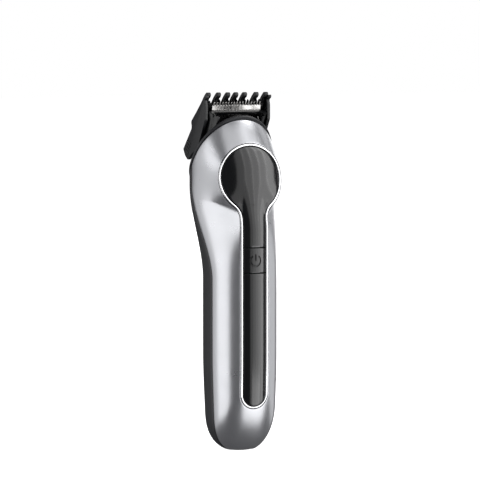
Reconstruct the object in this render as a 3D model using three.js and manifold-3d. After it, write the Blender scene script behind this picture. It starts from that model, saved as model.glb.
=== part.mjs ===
// Cordless hair clipper with a lift-off blade head and a pull-off guide comb.
// Millimetres, +Z up along the handle, front towards -Y, X across. The origin is the centre of the
// flat end face, on the end plug.
import * as THREE from 'three';
import { mergeVertices } from 'three/addons/utils/BufferGeometryUtils.js';
import Module from 'manifold-3d';

const wasm = await Module();
wasm.setup();

// ---------------------------------------------------------------- driving dimensions
const gap = 0.3;                  // clearance between pieces that seat on each other

const wall = 2.0;                 // shell thickness

// front stack, measured from the handle's parting line
const boardFace = -6.6;
const boardThickness = 1.4;
const switchHeight = 3.2;
const plungerReach = 1.2;

// battery: a standard 18 mm by 65 mm cell, behind the board
const cellRadius = 9.0;
const cellLength = 65;
const cellLow = 27;
const cellFrontRoom = 0.9;
const cellRearRoom = 1.4;
const cellSideRoom = 1.4;         // cell to the lower screw bosses
const cellBack = boardFace + boardThickness + cellFrontRoom + cellRadius;
const contactSheet = 0.5;         // thickness of a battery contact
const cellCap = 1.2;              // how far the cell's cap stands out

// slanted head plane and the arch that the front cover ends in
const archBase = 143;             // height where the arch springs from the sides
const archRise = 23;
const headTilt = Math.atan(0.6);  // head plane, from vertical
const rimOverhang = 1.6;          // head frame beyond the top of the front cover
const rimSide = 0.3;              // and beyond its sides
const skirtInset = 4.2;           // head frame's skirt inside the shells
const skirtWall = 1.6;
const skirtDrop = 2.4;            // how far the skirt reaches below the head plane
const skirtTopRoom = 6;           // more room for the skirt at the top of the arch
const skirtLowRoom = 3;           // and at its lowest point
const frameTop = 1.8;             // head frame's outer face, above the head plane

// body, measured from the handle's parting line (across, behind and in front of it)
const handleHalfWidth = 17.4;
const headHalfWidth = 22.0;
const handleFrontDepth = 14.4;    // parting line to the middle of the front
const handleRearDepth = cellBack + cellRadius + cellRearRoom + wall;
const headRearDepth = 10.4;
const headSetback = 13.9;         // how far the head's parting line lies behind the handle's
const endSetback = 2.2;           // the same at the round end
const neckLow = archBase - 57;    // the handle starts to widen into the head
const neckHigh = archBase - 10;   // the head has its full width
const endRound = 22;              // height of the round end
const endSquareness = 2.5;        // exponent of the round end's outline
const endDip = 1.1;               // how far the round end would run on below the flat end face
const endTaper = 0.07;            // share of the width that fades in along the lower handle
const endTaperHeight = 50;
const rearSquareness = 4.5;       // exponent of the handle's rear section
const headSquareness = 2.5;

// spoon-shaped insert
const discRadius = 17.2;
const discHeight = archBase - 6;  // centre of the disc
const stripHalfWidth = 7.42;
const stripEnd = 22.2;            // lowest point of the strip
const neckFillet = 8;
const trimWidth = 1.05;
const trimDepth = 2.4;
const trimProud = 0.25;
const discEdgeDepth = -7.3;       // depth of the insert's edge round the disc
const edgeRiseLow = discHeight - 26;   // the insert's edge starts to lean back
const edgeRiseHigh = discHeight + 5;
const discCrown = 3.2;            // how far the disc bulges
const stripCrown = 1.35;
const panelThickness = 1.6;

// power button
const buttonHeight = discHeight - 40.7;
const buttonLength = 12.4;
const stemRadius = 1.5;
const plungerRadius = 1.6;

// drive
const motorBack = 8.5;            // motor axis behind the handle's parting line
const motorRadius = 8.5;
const motorLow = archBase - 39;
const motorLength = 28;
const motorScrewOut = 5.4;
const motorScrewRadius = 0.8;
const mountThickness = 2.0;
const bushRadius = 3.0;
const camRadius = 3.2;
const shaftRadius = 1.15;
const throwRadius = 0.8;          // eccentric offset, half the cutter's stroke
const pinRadius = 0.8;
const pinTop = archBase + 21;
const slotClearance = 0.25;

// case screws
const bossRadius = 2.3;
const screwRadius = 1.1;
const screwHeadRadius = 2.1;

// blade head, in the head plane's own frame: x across, y out of the plane, z up along it
const carrierHalfWidth = 15.9;
const carrierBaseHalfWidth = 13.0;
const carrierLow = -26;
const carrierTop = 8.4;
const carrierBottom = frameTop + gap;
const carrierRail = 4.0;
const cutterHalfWidth = 13.4;
const bladeThickness = 1.3;
const toothCount = 17;
const cutterBandTop = 2.4;
const cutterToothTop = 4.2;
const fixedToothTop = 4.7;
const toothTip = 0.6;             // width of a tooth's tip, as a share of its root
const landRadius = 2.6;           // raised seats under the fixed blade
const driverBottom = 4.6;
const driverWall = 1.5;
const bladeScrewOut = 9.0;
const bladeScrewLow = -21.5;

// comb
const combHalfWidth = 18.25;
const combWall = 1.75;
const wallReach = 3.6;            // how far the comb's walls reach down beside the carrier
const combTop = 8.4;
const combStandOff = 0.5;         // comb's fins in front of the fixed blade
const finWidth = 2.6;
const finOut = 15.95;             // the outermost fins, from the middle
const finShares = [-1, -0.65, -0.325, -0.045, 0.26, 0.665, 1];
const flangeReach = 3.0;          // inward flange of each side wall

// end plug
const plugBack = 3.0;             // plug centre behind the handle's parting line
const plugHalfWidth = 5.6;
const plugHalfDepth = 4.4;
const plugThickness = 3.4;
const contactOut = 2.9;
const contactRadius = 1.2;

// ---------------------------------------------------------------- small tools
const clamp = (t) => Math.min(1, Math.max(0, t));
const smooth = (t) => clamp(t) ** 2 * (3 - 2 * clamp(t));
const mix = (a, b, t) => a + (b - a) * t;
const tau = 2 * Math.PI;

function fromTriangles(points, triangles) {
  // Builds a closed body from points and index triples, with its faces pointing out.
  let volume = 0;
  for (const [a, b, c] of triangles) {
    volume += points[a].dot(points[b].clone().cross(points[c]));
  }
  const geometry = new THREE.BufferGeometry();
  geometry.setAttribute('position',
    new THREE.Float32BufferAttribute(points.flatMap((p) => [p.x, p.y, p.z]), 3));
  geometry.setIndex(triangles.flatMap(([a, b, c]) => (volume > 0 ? [a, b, c] : [a, c, b])));
  return geometry;
}

function loft(rings) {
  // Skins a row of rings that have the same even number of points. Each end is closed by a ladder
  // between the first and the second half of its ring.
  const count = rings[0].length;
  const triangles = [];
  const quad = (a, b, c, d) => triangles.push([a, b, c], [a, c, d]);
  for (let r = 0; r + 1 < rings.length; r += 1) {
    for (let j = 0; j < count; j += 1) {
      const k = (j + 1) % count;
      quad(r * count + j, r * count + k, (r + 1) * count + k, (r + 1) * count + j);
    }
  }
  const last = (rings.length - 1) * count;
  for (let j = 0; j < count / 2 - 1; j += 1) {
    const [a, b, c, d] = [j, j + 1, count - 2 - j, count - 1 - j];
    quad(d, c, b, a);
    quad(last + a, last + b, last + c, last + d);
  }
  return fromTriangles(rings.flat(), triangles);
}

function ringBody(sections) {
  // Skins closed sections that follow each other round a closed loop.
  const count = sections[0].length;
  const triangles = [];
  sections.forEach((_, i) => {
    const next = (i + 1) % sections.length;
    for (let j = 0; j < count; j += 1) {
      const k = (j + 1) % count;
      const [a, b, c, d] = [i * count + j, i * count + k, next * count + k, next * count + j];
      triangles.push([a, b, c], [a, c, d]);
    }
  });
  return fromTriangles(sections.flat(), triangles);
}

function toSolid(geometry) {
  const bare = geometry.clone();
  bare.deleteAttribute('normal');
  bare.deleteAttribute('uv');
  const merged = mergeVertices(bare, 1e-5);
  return new wasm.Manifold(new wasm.Mesh({
    numProp: 3,
    vertProperties: new Float32Array(merged.attributes.position.array),
    triVerts: new Uint32Array(merged.index.array),
  }));
}

function fromSolid(solid) {
  const mesh = solid.getMesh();
  const geometry = new THREE.BufferGeometry();
  geometry.setAttribute('position', new THREE.BufferAttribute(new Float32Array(mesh.vertProperties), 3));
  geometry.setIndex(new THREE.BufferAttribute(new Uint32Array(mesh.triVerts), 1));
  return geometry;
}

const cut = (body, ...tools) =>
  fromSolid(tools.reduce((solid, tool) => solid.subtract(toSolid(tool)), toSolid(body)));
const join = (body, ...more) =>
  fromSolid(more.reduce((solid, other) => solid.add(toSolid(other)), toSolid(body)));
const common = (body, other) => fromSolid(toSolid(body).intersect(toSolid(other)));

function outline(points) {
  return new THREE.Shape(points.map(([x, y]) => new THREE.Vector2(x, y)));
}

function extrude(shape, depth, curveSegments = 12) {
  return new THREE.ExtrudeGeometry(shape, { depth, bevelEnabled: false, curveSegments });
}

function plateAlongY(shape, low, high, curveSegments) {
  // The outline lies in x and z, and the plate runs from low to high along y.
  return extrude(shape, high - low, curveSegments).rotateX(Math.PI / 2).translate(0, high, 0);
}

function plateAlongX(shape, low, high) {
  // The outline lies in y and z, and the plate runs from low to high along x.
  const turn = new THREE.Matrix4().makeBasis(
    new THREE.Vector3(0, 1, 0), new THREE.Vector3(0, 0, 1), new THREE.Vector3(1, 0, 0));
  return extrude(shape, high - low).applyMatrix4(turn).translate(low, 0, 0);
}

function rodAlongZ(radius, low, high, x = 0, y = 0, sides = 24) {
  return new THREE.CylinderGeometry(radius, radius, high - low, sides)
    .rotateX(Math.PI / 2).translate(x, y, (low + high) / 2);
}

function rodAlongY(radius, low, high, x = 0, z = 0, sides = 20) {
  return new THREE.CylinderGeometry(radius, radius, high - low, sides)
    .translate(x, (low + high) / 2, z);
}

function block(xLow, xHigh, yLow, yHigh, zLow, zHigh) {
  return new THREE.BoxGeometry(xHigh - xLow, yHigh - yLow, zHigh - zLow)
    .translate((xLow + xHigh) / 2, (yLow + yHigh) / 2, (zLow + zHigh) / 2);
}

function roundedRectangle(halfX, halfY, radius, centreX = 0, centreY = 0) {
  const shape = new THREE.Shape();
  const corners = [[1, 1, 0], [-1, 1, 1], [-1, -1, 2], [1, -1, 3]];
  corners.forEach(([sx, sy, quarter]) => {
    const start = quarter * Math.PI / 2;
    shape.absarc(centreX + sx * (halfX - radius), centreY + sy * (halfY - radius), radius,
      start, start + Math.PI / 2, false);
  });
  return shape;
}

function oval(halfX, upperRise, lowerRise, centreZ, segments = 48) {
  const points = [];
  for (let k = 0; k < segments; k += 1) {
    const a = k / segments * tau;
    points.push([halfX * Math.cos(a), centreZ + Math.sin(a) * (Math.sin(a) > 0 ? upperRise : lowerRise)]);
  }
  return outline(points);
}

// ---------------------------------------------------------------- body surface
const neck = (z) => smooth((z - neckLow) / (neckHigh - neckLow));
const endShare = (z, inset = 0) => {
  const t = clamp((z + endDip - inset) / (endRound + endDip - inset));
  const dome = (1 - (1 - t) ** endSquareness) ** (1 / endSquareness);
  return (1 - endTaper) * dome + endTaper * smooth((z - inset) / endTaperHeight);
};
const partingY = (z) => headSetback * neck(z) + endSetback * (1 - smooth(z / endRound));
const halfWidth = (z) => mix(handleHalfWidth, headHalfWidth, neck(z));
const rearDepth = (z) => mix(handleRearDepth, headRearDepth, neck(z));
const headPlaneY = (z) => headApexY + (headApexZ - z) * Math.tan(headTilt);

const headNormal = new THREE.Vector3(0, Math.cos(headTilt), Math.sin(headTilt));
const headApexZ = archBase + archRise;
const headApexY = headSetback - archRise * Math.tan(headTilt);

// The insert's edge as a closed outline, offset inwards. Each station also names the matching height
// on the parting line, so that the cover can be skinned between the two.
const stripEndCentre = stripEnd + stripHalfWidth;
const neckFilletX = stripHalfWidth + neckFillet;
const neckFilletZ = discHeight - Math.sqrt((discRadius + neckFillet) ** 2 - neckFilletX ** 2);
const neckAngle = Math.atan2(neckFilletX, discHeight - neckFilletZ);

function facingHeight(z) {
  // Height on the parting line that faces a height on the insert's side.
  const low = neckFilletZ - 16;
  return z + (archBase - discHeight) * smooth((z - low) / (discHeight - low));
}

function halfOutline(offset) {
  const stations = [];
  const add = (x, z, outer) => stations.push({ x, z, outer });
  const archSteps = 10;
  for (let k = 0; k <= archSteps; k += 1) {
    const a = k / archSteps * Math.PI / 2;
    add((discRadius - offset) * Math.sin(a), discHeight + (discRadius - offset) * Math.cos(a),
      { arch: a });
  }
  const discSteps = 5;
  for (let k = 1; k <= discSteps; k += 1) {
    const a = mix(Math.PI / 2, Math.PI - neckAngle, k / discSteps);
    const z = discHeight + (discRadius - offset) * Math.cos(a);
    add((discRadius - offset) * Math.sin(a), z, { z: facingHeight(z) });
  }
  const filletSteps = 4;
  for (let k = 1; k <= filletSteps; k += 1) {
    const a = neckAngle + (Math.PI / 2 - neckAngle) * k / filletSteps;
    const z = neckFilletZ + (neckFillet + offset) * Math.cos(a);
    add(neckFilletX - (neckFillet + offset) * Math.sin(a), z, { z: facingHeight(z) });
  }
  const stripSteps = 12;
  for (let k = 1; k <= stripSteps; k += 1) {
    const z = mix(neckFilletZ, stripEndCentre, k / stripSteps);
    add(stripHalfWidth - offset, z, { z: facingHeight(z) });
  }
  const endSteps = 8;
  for (let k = 1; k <= endSteps; k += 1) {
    const a = k / endSteps * Math.PI / 2;
    add((stripHalfWidth - offset) * Math.cos(a), stripEndCentre - (stripHalfWidth - offset) * Math.sin(a),
      { z: (stripEndCentre + endDip) * (1 - Math.sin(a)) - endDip });
  }
  return stations;
}

function edgeDepth(z) {
  // Depth of the insert's edge: on the handle's front ellipse, leaning back to the disc's edge.
  const share = endShare(z);
  const acrossShare = Math.min(0.95, stripHalfWidth / (handleHalfWidth * share));
  const onHandle = -handleFrontDepth * share * Math.sqrt(1 - acrossShare ** 2);
  return mix(onHandle, discEdgeDepth, smooth((z - edgeRiseLow) / (edgeRiseHigh - edgeRiseLow)));
}

function partingPoint(station) {
  if ('arch' in station.outer) {
    const z = archBase + archRise * Math.cos(station.outer.arch);
    return new THREE.Vector3(headHalfWidth * Math.sin(station.outer.arch), headPlaneY(z), z);
  }
  const z = station.outer.z;
  return new THREE.Vector3(halfWidth(z) * endShare(z), partingY(z), z);
}

function coverProfile(station, steps) {
  // A cubic from the parting line to the insert's edge.
  const start = partingPoint(station);
  const end = new THREE.Vector3(station.x, edgeDepth(station.z), station.z);
  const reach = start.clone().sub(end);
  const arch = 'arch' in station.outer ? Math.cos(station.outer.arch) : 0;
  const flare = mix(0.6, 0.3, neck(station.z));
  const fullness = mix(0.42, 0.2, Math.min(1, 2 * arch));
  const leaving = new THREE.Vector3(0, -fullness * reach.y, -0.3 * reach.z * arch);
  const arriving = new THREE.Vector3(
    reach.x * flare, reach.y * mix(0.18, 0.3, neck(station.z)), reach.z * flare);
  const curve = new THREE.CubicBezierCurve3(
    start, start.clone().add(leaving), end.clone().add(arriving), end);
  return curve.getPoints(steps);
}

function mirrorLoop(half) {
  // Completes a half loop, given from the top to the bottom at x >= 0, to the whole loop.
  const flip = new THREE.Vector3(-1, 1, 1);
  const other = half.slice(1, -1).reverse().map((row) => row.map((p) => p.clone().multiply(flip)));
  return half.concat(other);
}

function insetGrid(grid, thickness) {
  // Moves each point of a closed grid inwards along the surface's normal.
  const count = grid.length;
  return grid.map((row, i) => row.map((p, j) => {
    const along = grid[(i + 1) % count][j].clone().sub(grid[(i + count - 1) % count][j]);
    const across = row[Math.min(j + 1, row.length - 1)].clone().sub(row[Math.max(j - 1, 0)]);
    const inward = along.cross(across).normalize();
    const middle = new THREE.Vector3(0, partingY(Math.min(p.z, archBase)), p.z);
    if (inward.dot(middle.sub(p)) < 0) inward.negate();
    if (j === 0) {
      // The edge stays in the parting plane, or in the head plane along the arch.
      const onArch = 'arch' in loopStations[Math.min(i, count - i)].outer;
      const planeNormal = onArch ? headNormal : new THREE.Vector3(0, 1, 0);
      inward.addScaledVector(planeNormal, -inward.dot(planeNormal)).normalize();
    }
    return p.clone().addScaledVector(inward, thickness);
  }));
}

// ---------------------------------------------------------------- shells
const loopStations = halfOutline(-gap);

function frontCover() {
  const across = 6;
  const outer = mirrorLoop(loopStations.map((station) => coverProfile(station, across)));
  const inner = insetGrid(outer, wall);
  const sections = outer.map((row, i) => row.concat(inner[i].slice().reverse()));
  const shell = ringBody(sections);
  const bosses = housingScrews.map(({ x, z }) => {
    const front = boreFront(x, z);
    return rodAlongY(bossRadius, front, partingY(z) - gap, x, z);
  });
  const bores = housingScrews.map(({ x, z }) =>
    rodAlongY(screwRadius + gap, boreFront(x, z) + wall, partingY(z) + 1, x, z, 12));
  return cut(join(shell, ...bosses), ...bores, insertCut(), plugCut());
}

function insertCut() {
  // The opening that the insert fills, straight through the cover.
  const half = loopStations.map(({ x, z }) => [x, z]);
  const other = half.slice(1, -1).reverse().map(([x, z]) => [-x, z]);
  return plateAlongY(outline(half.concat(other)), -40, headSetback);
}

const housingScrews = [[-1, 1], [1, 1], [-1, 0], [1, 0]].map(([side, upper]) => ({
  x: side * (upper ? handleHalfWidth - wall - bossRadius - 0.4 : cellRadius + cellSideRoom + bossRadius),
  z: upper ? neckLow + 10 : endRound + 12,
}));

function boreFront(x, z) {
  // Where a boss starts, inside the front wall.
  const share = Math.min(0.97, (Math.abs(x) + bossRadius) / halfWidth(z));
  return partingY(z) - (handleFrontDepth + partingY(z)) * Math.sqrt(1 - share ** 2) + wall * 0.4;
}

function rearRing(z, inset, front) {
  const points = 13;
  const ring = [];
  const power = 2 / mix(rearSquareness, headSquareness, neck(z));
  const across = (halfWidth(z) - inset) * endShare(z, inset);
  const deep = (rearDepth(z) - inset) * endShare(z, inset);
  const signed = (v) => Math.sign(v) * Math.abs(v) ** power;
  for (let j = 0; j < points; j += 1) {
    const a = j / (points - 1) * Math.PI;
    ring.push(new THREE.Vector3(across * signed(Math.cos(a)),
      partingY(z) + deep * Math.abs(Math.sin(a)) ** power, z));
  }
  return ring.concat(ring.slice().reverse().map((p) => new THREE.Vector3(p.x, partingY(z) - front, z)));
}

function rearLoft(inset, front, top) {
  const heights = [];
  const low = inset - endDip;
  const domeSteps = 8;
  for (let k = 1; k <= domeSteps; k += 1) {
    heights.push(low + (endRound - low) * (1 - Math.cos(k / domeSteps * Math.PI / 2)));
  }
  for (let z = endRound + 14; z < neckLow; z += 16) heights.push(z);
  for (let k = 0; k <= 9; k += 1) heights.push(mix(neckLow, neckHigh, k / 9));
  heights.push(top);
  return loft([low + 0.02, ...heights].map((z) => rearRing(z, inset, front)));
}

function behindParting(setback) {
  // A slab behind the parting line and below the head plane.
  const points = [[partingY(0) + setback, -3]];
  for (let k = 0; k <= 40; k += 1) {
    const z = mix(0, archBase, k / 40);
    points.push([partingY(z) + setback, z]);
  }
  const back = 60;
  points.push([back, archBase - (back - headSetback) / Math.tan(headTilt)], [back, -3]);
  return plateAlongX(outline(points), -40, 40);
}

function rearHousing() {
  const shell = cut(rearLoft(0, 2, archBase + 1), rearLoft(wall, 4, archBase + 2));
  const columns = housingScrews.map(({ x, z }) =>
    rodAlongY(bossRadius, partingY(z) + gap, rearWall(x, z), x, z));
  const bores = housingScrews.flatMap(({ x, z }) => [
    rodAlongY(screwRadius + gap, partingY(z) - 1, rearWall(x, z) + wall + 4, x, z, 12),
    rodAlongY(screwHeadRadius + gap, screwSeat(x, z), rearWall(x, z) + wall + 4, x, z)]);
  return cut(common(join(shell, ...columns), behindParting(gap)), ...bores, plugCut());
}

function rearWall(x, z) {
  // Inner face of the rear wall at a screw.
  const power = mix(rearSquareness, headSquareness, neck(z));
  const share = Math.min(0.95, Math.abs(x) / (halfWidth(z) - wall));
  return partingY(z) + (rearDepth(z) - wall) * (1 - share ** power) ** (1 / power) + wall * 0.3;
}
const screwSeat = (x, z) => rearWall(x, z) - 1.0;

function housingScrew({ x, z }) {
  const shank = rodAlongY(screwRadius, boreFront(x, z) + wall + gap, screwSeat(x, z) + 1, x, z, 12);
  const head = rodAlongY(screwHeadRadius, screwSeat(x, z) + gap, screwSeat(x, z) + 1.4, x, z, 16);
  return join(shank, head);
}

// ---------------------------------------------------------------- end plug
function plugShape(grow) {
  const shape = new THREE.Shape();
  shape.absellipse(0, plugBack, plugHalfWidth + grow, plugHalfDepth + grow, 0, tau, false);
  return shape;
}
const plugCut = () => join(extrude(plugShape(gap), plugThickness + 10).translate(0, 0, -3),
  block(-20, 20, -20, 20, -5, gap));

function basePlug() {
  const recesses = [-1, 1].map((side) =>
    rodAlongZ(contactRadius + gap, -1, 1.5, side * contactOut, plugBack, 16));
  return cut(extrude(plugShape(0), plugThickness), ...recesses);
}
const chargeContact = (side) => rodAlongZ(contactRadius, 0.2, 1.2, side * contactOut, plugBack, 16);

// ---------------------------------------------------------------- insert
function trimBezel() {
  const rings = [0, trimWidth].map((offset) => halfOutline(offset));
  const half = rings[0].map((station, i) => {
    const other = rings[1][i];
    const face = edgeDepth(station.z) - trimProud;
    return [
      new THREE.Vector3(station.x, face + 0.35, station.z),
      new THREE.Vector3(mix(station.x, other.x, 0.35), face, mix(station.z, other.z, 0.35)),
      new THREE.Vector3(mix(station.x, other.x, 0.75), face, mix(station.z, other.z, 0.75)),
      new THREE.Vector3(other.x, face + 0.35, other.z),
      new THREE.Vector3(other.x, face + trimDepth, other.z),
      new THREE.Vector3(station.x, face + trimDepth, station.z),
    ];
  });
  return ringBody(mirrorLoop(half));
}

const panelOffset = trimWidth + gap;
function panelHalfWidth(z) {
  const radius = discRadius - panelOffset;
  const fillet = neckFillet + panelOffset;
  const tangent = discHeight - radius * Math.cos(neckAngle);
  if (z > tangent) return Math.sqrt(Math.max(0, radius ** 2 - (z - discHeight) ** 2));
  if (z > neckFilletZ) return neckFilletX - Math.sqrt(fillet ** 2 - (z - neckFilletZ) ** 2);
  const half = stripHalfWidth - panelOffset;
  if (z > stripEndCentre) return half;
  return Math.sqrt(Math.max(0, half ** 2 - (stripEndCentre - z) ** 2));
}

function panelFace(x, z) {
  // Outer face of the black insert.
  const onStrip = 1 - (x / (stripHalfWidth - panelOffset)) ** 2;
  const radius = discRadius - panelOffset;
  const onDisc = 1 - (x ** 2 + Math.max(0, z - discHeight) ** 2) / radius ** 2
    - Math.min(1, (Math.min(0, z - discHeight) / 28) ** 2);
  const t = smooth((z - (neckFilletZ - 4)) / (discHeight - neckFilletZ + 4));
  const crown = mix(stripCrown * Math.max(0, onStrip), discCrown * Math.max(0, onDisc), t);
  return edgeDepth(z) - crown;
}

function panelRing(z, thickness) {
  const columns = 9;
  const half = Math.max(0.6, panelHalfWidth(z));
  const outer = [];
  for (let j = 0; j < columns; j += 1) {
    const x = mix(-half, half, j / (columns - 1));
    outer.push(new THREE.Vector3(x, panelFace(x, z), z));
  }
  return outer.concat(outer.slice().reverse().map((p) => new THREE.Vector3(p.x, p.y + thickness, p.z)));
}

const buttonLow = buttonHeight - buttonLength / 2;
const buttonHigh = buttonHeight + buttonLength / 2;

function upperPanel() {
  const top = discHeight + discRadius - panelOffset - 0.02;
  const heights = [buttonHigh + gap, 108];
  for (let k = 0; k <= 4; k += 1) heights.push(mix(neckFilletZ, discHeight - 12, k / 4));
  const discSlices = 9;
  const discStart = discHeight - 12;
  for (let k = 1; k <= discSlices; k += 1) {
    heights.push(discStart + (top - discStart) * Math.sin(k / discSlices * Math.PI / 2));
  }
  return loft(heights.map((z) => panelRing(z, panelThickness)));
}

function lowerPanel() {
  const low = stripEnd + panelOffset + 0.02;
  const heights = [];
  const endSlices = 6;
  for (let k = 0; k <= endSlices; k += 1) {
    heights.push(stripEndCentre - (stripEndCentre - low) * Math.cos(k / endSlices * Math.PI / 2));
  }
  for (let k = 1; k <= 4; k += 1) heights.push(mix(stripEndCentre, buttonLow - gap, k / 4));
  return loft(heights.map((z) => panelRing(z, panelThickness)));
}

function powerButton() {
  const cap = loft([buttonLow, buttonHeight, buttonHigh].map((z) => panelRing(z, panelThickness)));
  const stem = rodAlongY(
    stemRadius, panelFace(0, buttonHeight) + 0.5, plungerTip - gap, 0, buttonHeight, 16);
  return join(cap, stem);
}

// ---------------------------------------------------------------- electronics
const switchTop = boardFace - gap - switchHeight;
const plungerTip = switchTop - plungerReach;

function circuitBoard() {
  const shape = roundedRectangle(7, 24, 1.5, 0, buttonHeight - 12);
  return plateAlongY(shape, boardFace, boardFace + boardThickness, 4);
}
function switchBody() {
  const body = block(-3.1, 3.1, switchTop, boardFace - gap, buttonHeight - 3.1, buttonHeight + 3.1);
  return cut(body, rodAlongY(plungerRadius + gap, switchTop - 1, switchTop + 2.3, 0, buttonHeight, 16));
}
const switchPlunger = () => rodAlongY(plungerRadius, plungerTip, switchTop + 1.5, 0, buttonHeight, 16);

function batteryCell() {
  const body = rodAlongZ(cellRadius, cellLow, cellLow + cellLength, 0, cellBack, 28);
  const top = cellLow + cellLength;
  return join(body, rodAlongZ(2.8, top - 1, top + cellCap, 0, cellBack, 16));
}
function batteryContact(low) {
  return extrude(roundedRectangle(5, 5, 1.2, 0, cellBack), contactSheet, 4).translate(0, 0, low);
}

// ---------------------------------------------------------------- drive
const motorTop = motorLow + motorLength;
const mountTop = motorTop + gap + mountThickness;

function motorCan() {
  const body = rodAlongZ(motorRadius, motorLow, motorTop, 0, motorBack, 28);
  const bores = [-1, 1].map((side) =>
    rodAlongZ(motorScrewRadius + gap, motorTop - 4, motorTop + 1, side * motorScrewOut, motorBack, 12));
  return cut(body, rodAlongZ(shaftRadius + gap, motorTop - 8, motorTop + 1, 0, motorBack, 16), ...bores);
}
const motorEndCap = () => rodAlongZ(
  motorRadius - 0.6, motorLow - gap - 2.2, motorLow - gap, 0, motorBack, 28);

function motorMount() {
  const plate = extrude(roundedRectangle(14, 7.4, 3, 0, motorBack), mountTop - motorTop - gap, 4)
    .translate(0, 0, motorTop + gap);
  const holes = [-1, 1].map((side) =>
    rodAlongZ(motorScrewRadius + gap, motorTop - 1, mountTop + 1, side * motorScrewOut, motorBack, 12));
  return cut(plate, rodAlongZ(bushRadius + gap, motorTop - 1, mountTop + 1, 0, motorBack), ...holes);
}
function motorScrew(side) {
  const x = side * motorScrewOut;
  return join(rodAlongZ(motorScrewRadius, motorTop - 3.5, mountTop + 1, x, motorBack, 12),
    rodAlongZ(1.7, mountTop + gap, mountTop + 1.5, x, motorBack, 16));
}

function shaftBush() {
  return cut(rodAlongZ(bushRadius, motorTop + gap, mountTop + 2, 0, motorBack),
    rodAlongZ(shaftRadius + 0.08, motorTop - 1, mountTop + 3, 0, motorBack, 24));
}
const shaftTop = mountTop + 9;
const driveShaft = () => rodAlongZ(shaftRadius, motorTop - 7.5, shaftTop, 0, motorBack, 24);
function eccentricCam() {
  const disc = rodAlongZ(camRadius, shaftTop - 4, shaftTop + 3, 0, motorBack);
  const pin = rodAlongZ(pinRadius, shaftTop + 1, pinTop, throwRadius, motorBack, 16);
  const socket = rodAlongZ(shaftRadius + gap, shaftTop - 5, shaftTop + gap, 0, motorBack, 16);
  return cut(join(disc, pin), socket);
}

// ---------------------------------------------------------------- head frame
const planeRise = archRise / Math.cos(headTilt);          // arch, along the head plane
const planeDrop = headRearDepth / Math.sin(headTilt) - 0.2;
const planeCentre = -planeRise;                           // in the head plane's own frame

// where the motor axis crosses a height above the head plane, in that frame
const tiltSin = Math.sin(headTilt);
const tiltCos = Math.cos(headTilt);
const axisBack = motorBack - headApexY;
const alongPlane = (back, up) => -back * tiltSin + up * tiltCos;

function axisAlong(out) {
  // Place along the head plane where the motor axis is `out` above it.
  const up = (out - axisBack * tiltCos) / tiltSin;
  return alongPlane(axisBack, up);
}

function headFrame() {
  const plate = plateAlongY(oval(headHalfWidth + rimSide, planeRise + rimOverhang,
    planeDrop + rimSide, planeCentre), gap, frameTop);
  const skirtOutline = (inset) => oval(headHalfWidth - inset, planeRise - inset - skirtTopRoom,
    planeDrop - inset - skirtLowRoom, planeCentre, 36);
  const skirtShape = skirtOutline(skirtInset);
  skirtShape.holes.push(skirtOutline(skirtInset + skirtWall));
  const skirt = plateAlongY(skirtShape, -skirtDrop, gap + 0.2);
  const low = axisAlong(gap - 3) - 3.6;
  const high = axisAlong(frameTop) + 3.6;
  const opening = roundedRectangle(4.2, (high - low) / 2, 2, 0, (low + high) / 2);
  const window = plateAlongY(opening, -4, frameTop + 1, 4);
  return cut(join(plate, skirt), window);
}

// ---------------------------------------------------------------- blade head
const slotHalf = throwRadius * 2 + pinRadius + slotClearance;
const sweep = throwRadius + pinRadius;
const slotHigh = alongPlane(axisBack - sweep, pinTop - headApexZ) + 0.6;
const slotLow = (() => {
  const back = axisBack + sweep;
  return alongPlane(back, (driverBottom - back * tiltCos) / tiltSin) - 0.5;
})();
const carrierWindowLow = slotLow - driverWall - 4.0;
const cutterLow = slotLow - driverWall - 0.4;
const cutterBottom = carrierTop + gap;
const fixedBottom = cutterBottom + bladeThickness + gap;
const fixedTop = fixedBottom + bladeThickness;

function bladeCarrier() {
  const outer = roundedRectangle(carrierHalfWidth, -carrierLow / 2, 2, 0, carrierLow / 2);
  const window = roundedRectangle(carrierHalfWidth - carrierRail, (-1.6 - carrierWindowLow) / 2, 1.5, 0,
    (-1.6 + carrierWindowLow) / 2);
  const body = plateAlongY(outer, carrierBottom, carrierTop, 6);
  const mouth = block(-carrierHalfWidth + carrierRail, carrierHalfWidth - carrierRail,
    carrierBottom - 1, carrierTop - 1.5, -3, 2);
  const bores = [-1, 1].map((side) =>
    rodAlongY(screwRadius + gap, carrierTop - 4, carrierTop + 1, side * bladeScrewOut, bladeScrewLow, 12));
  const flare = carrierTop - 2.2;
  const section = outline([[-carrierBaseHalfWidth, carrierBottom], [carrierBaseHalfWidth, carrierBottom],
    [carrierHalfWidth, flare], [carrierHalfWidth, carrierTop], [-carrierHalfWidth, carrierTop],
    [-carrierHalfWidth, flare]]);
  const tapered = common(body, extrude(section, -carrierLow + 2).translate(0, 0, carrierLow - 1));
  return cut(tapered, plateAlongY(window, carrierBottom - 1, carrierTop + 1, 4), mouth, ...bores);
}

function toothedPlate(halfX, low, bandTop, toothTop, share) {
  const pitch = 2 * cutterHalfWidth / toothCount;
  const points = [[-halfX, low], [halfX, low], [halfX, bandTop]];
  for (let k = toothCount - 1; k >= 0; k -= 1) {
    const centre = (k - (toothCount - 1) / 2) * pitch;
    const half = pitch * share / 2;
    points.push([centre + half, bandTop], [centre + half * toothTip, toothTop],
      [centre - half * toothTip, toothTop], [centre - half, bandTop]);
  }
  points.push([-halfX, bandTop]);
  return outline(points);
}

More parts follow.
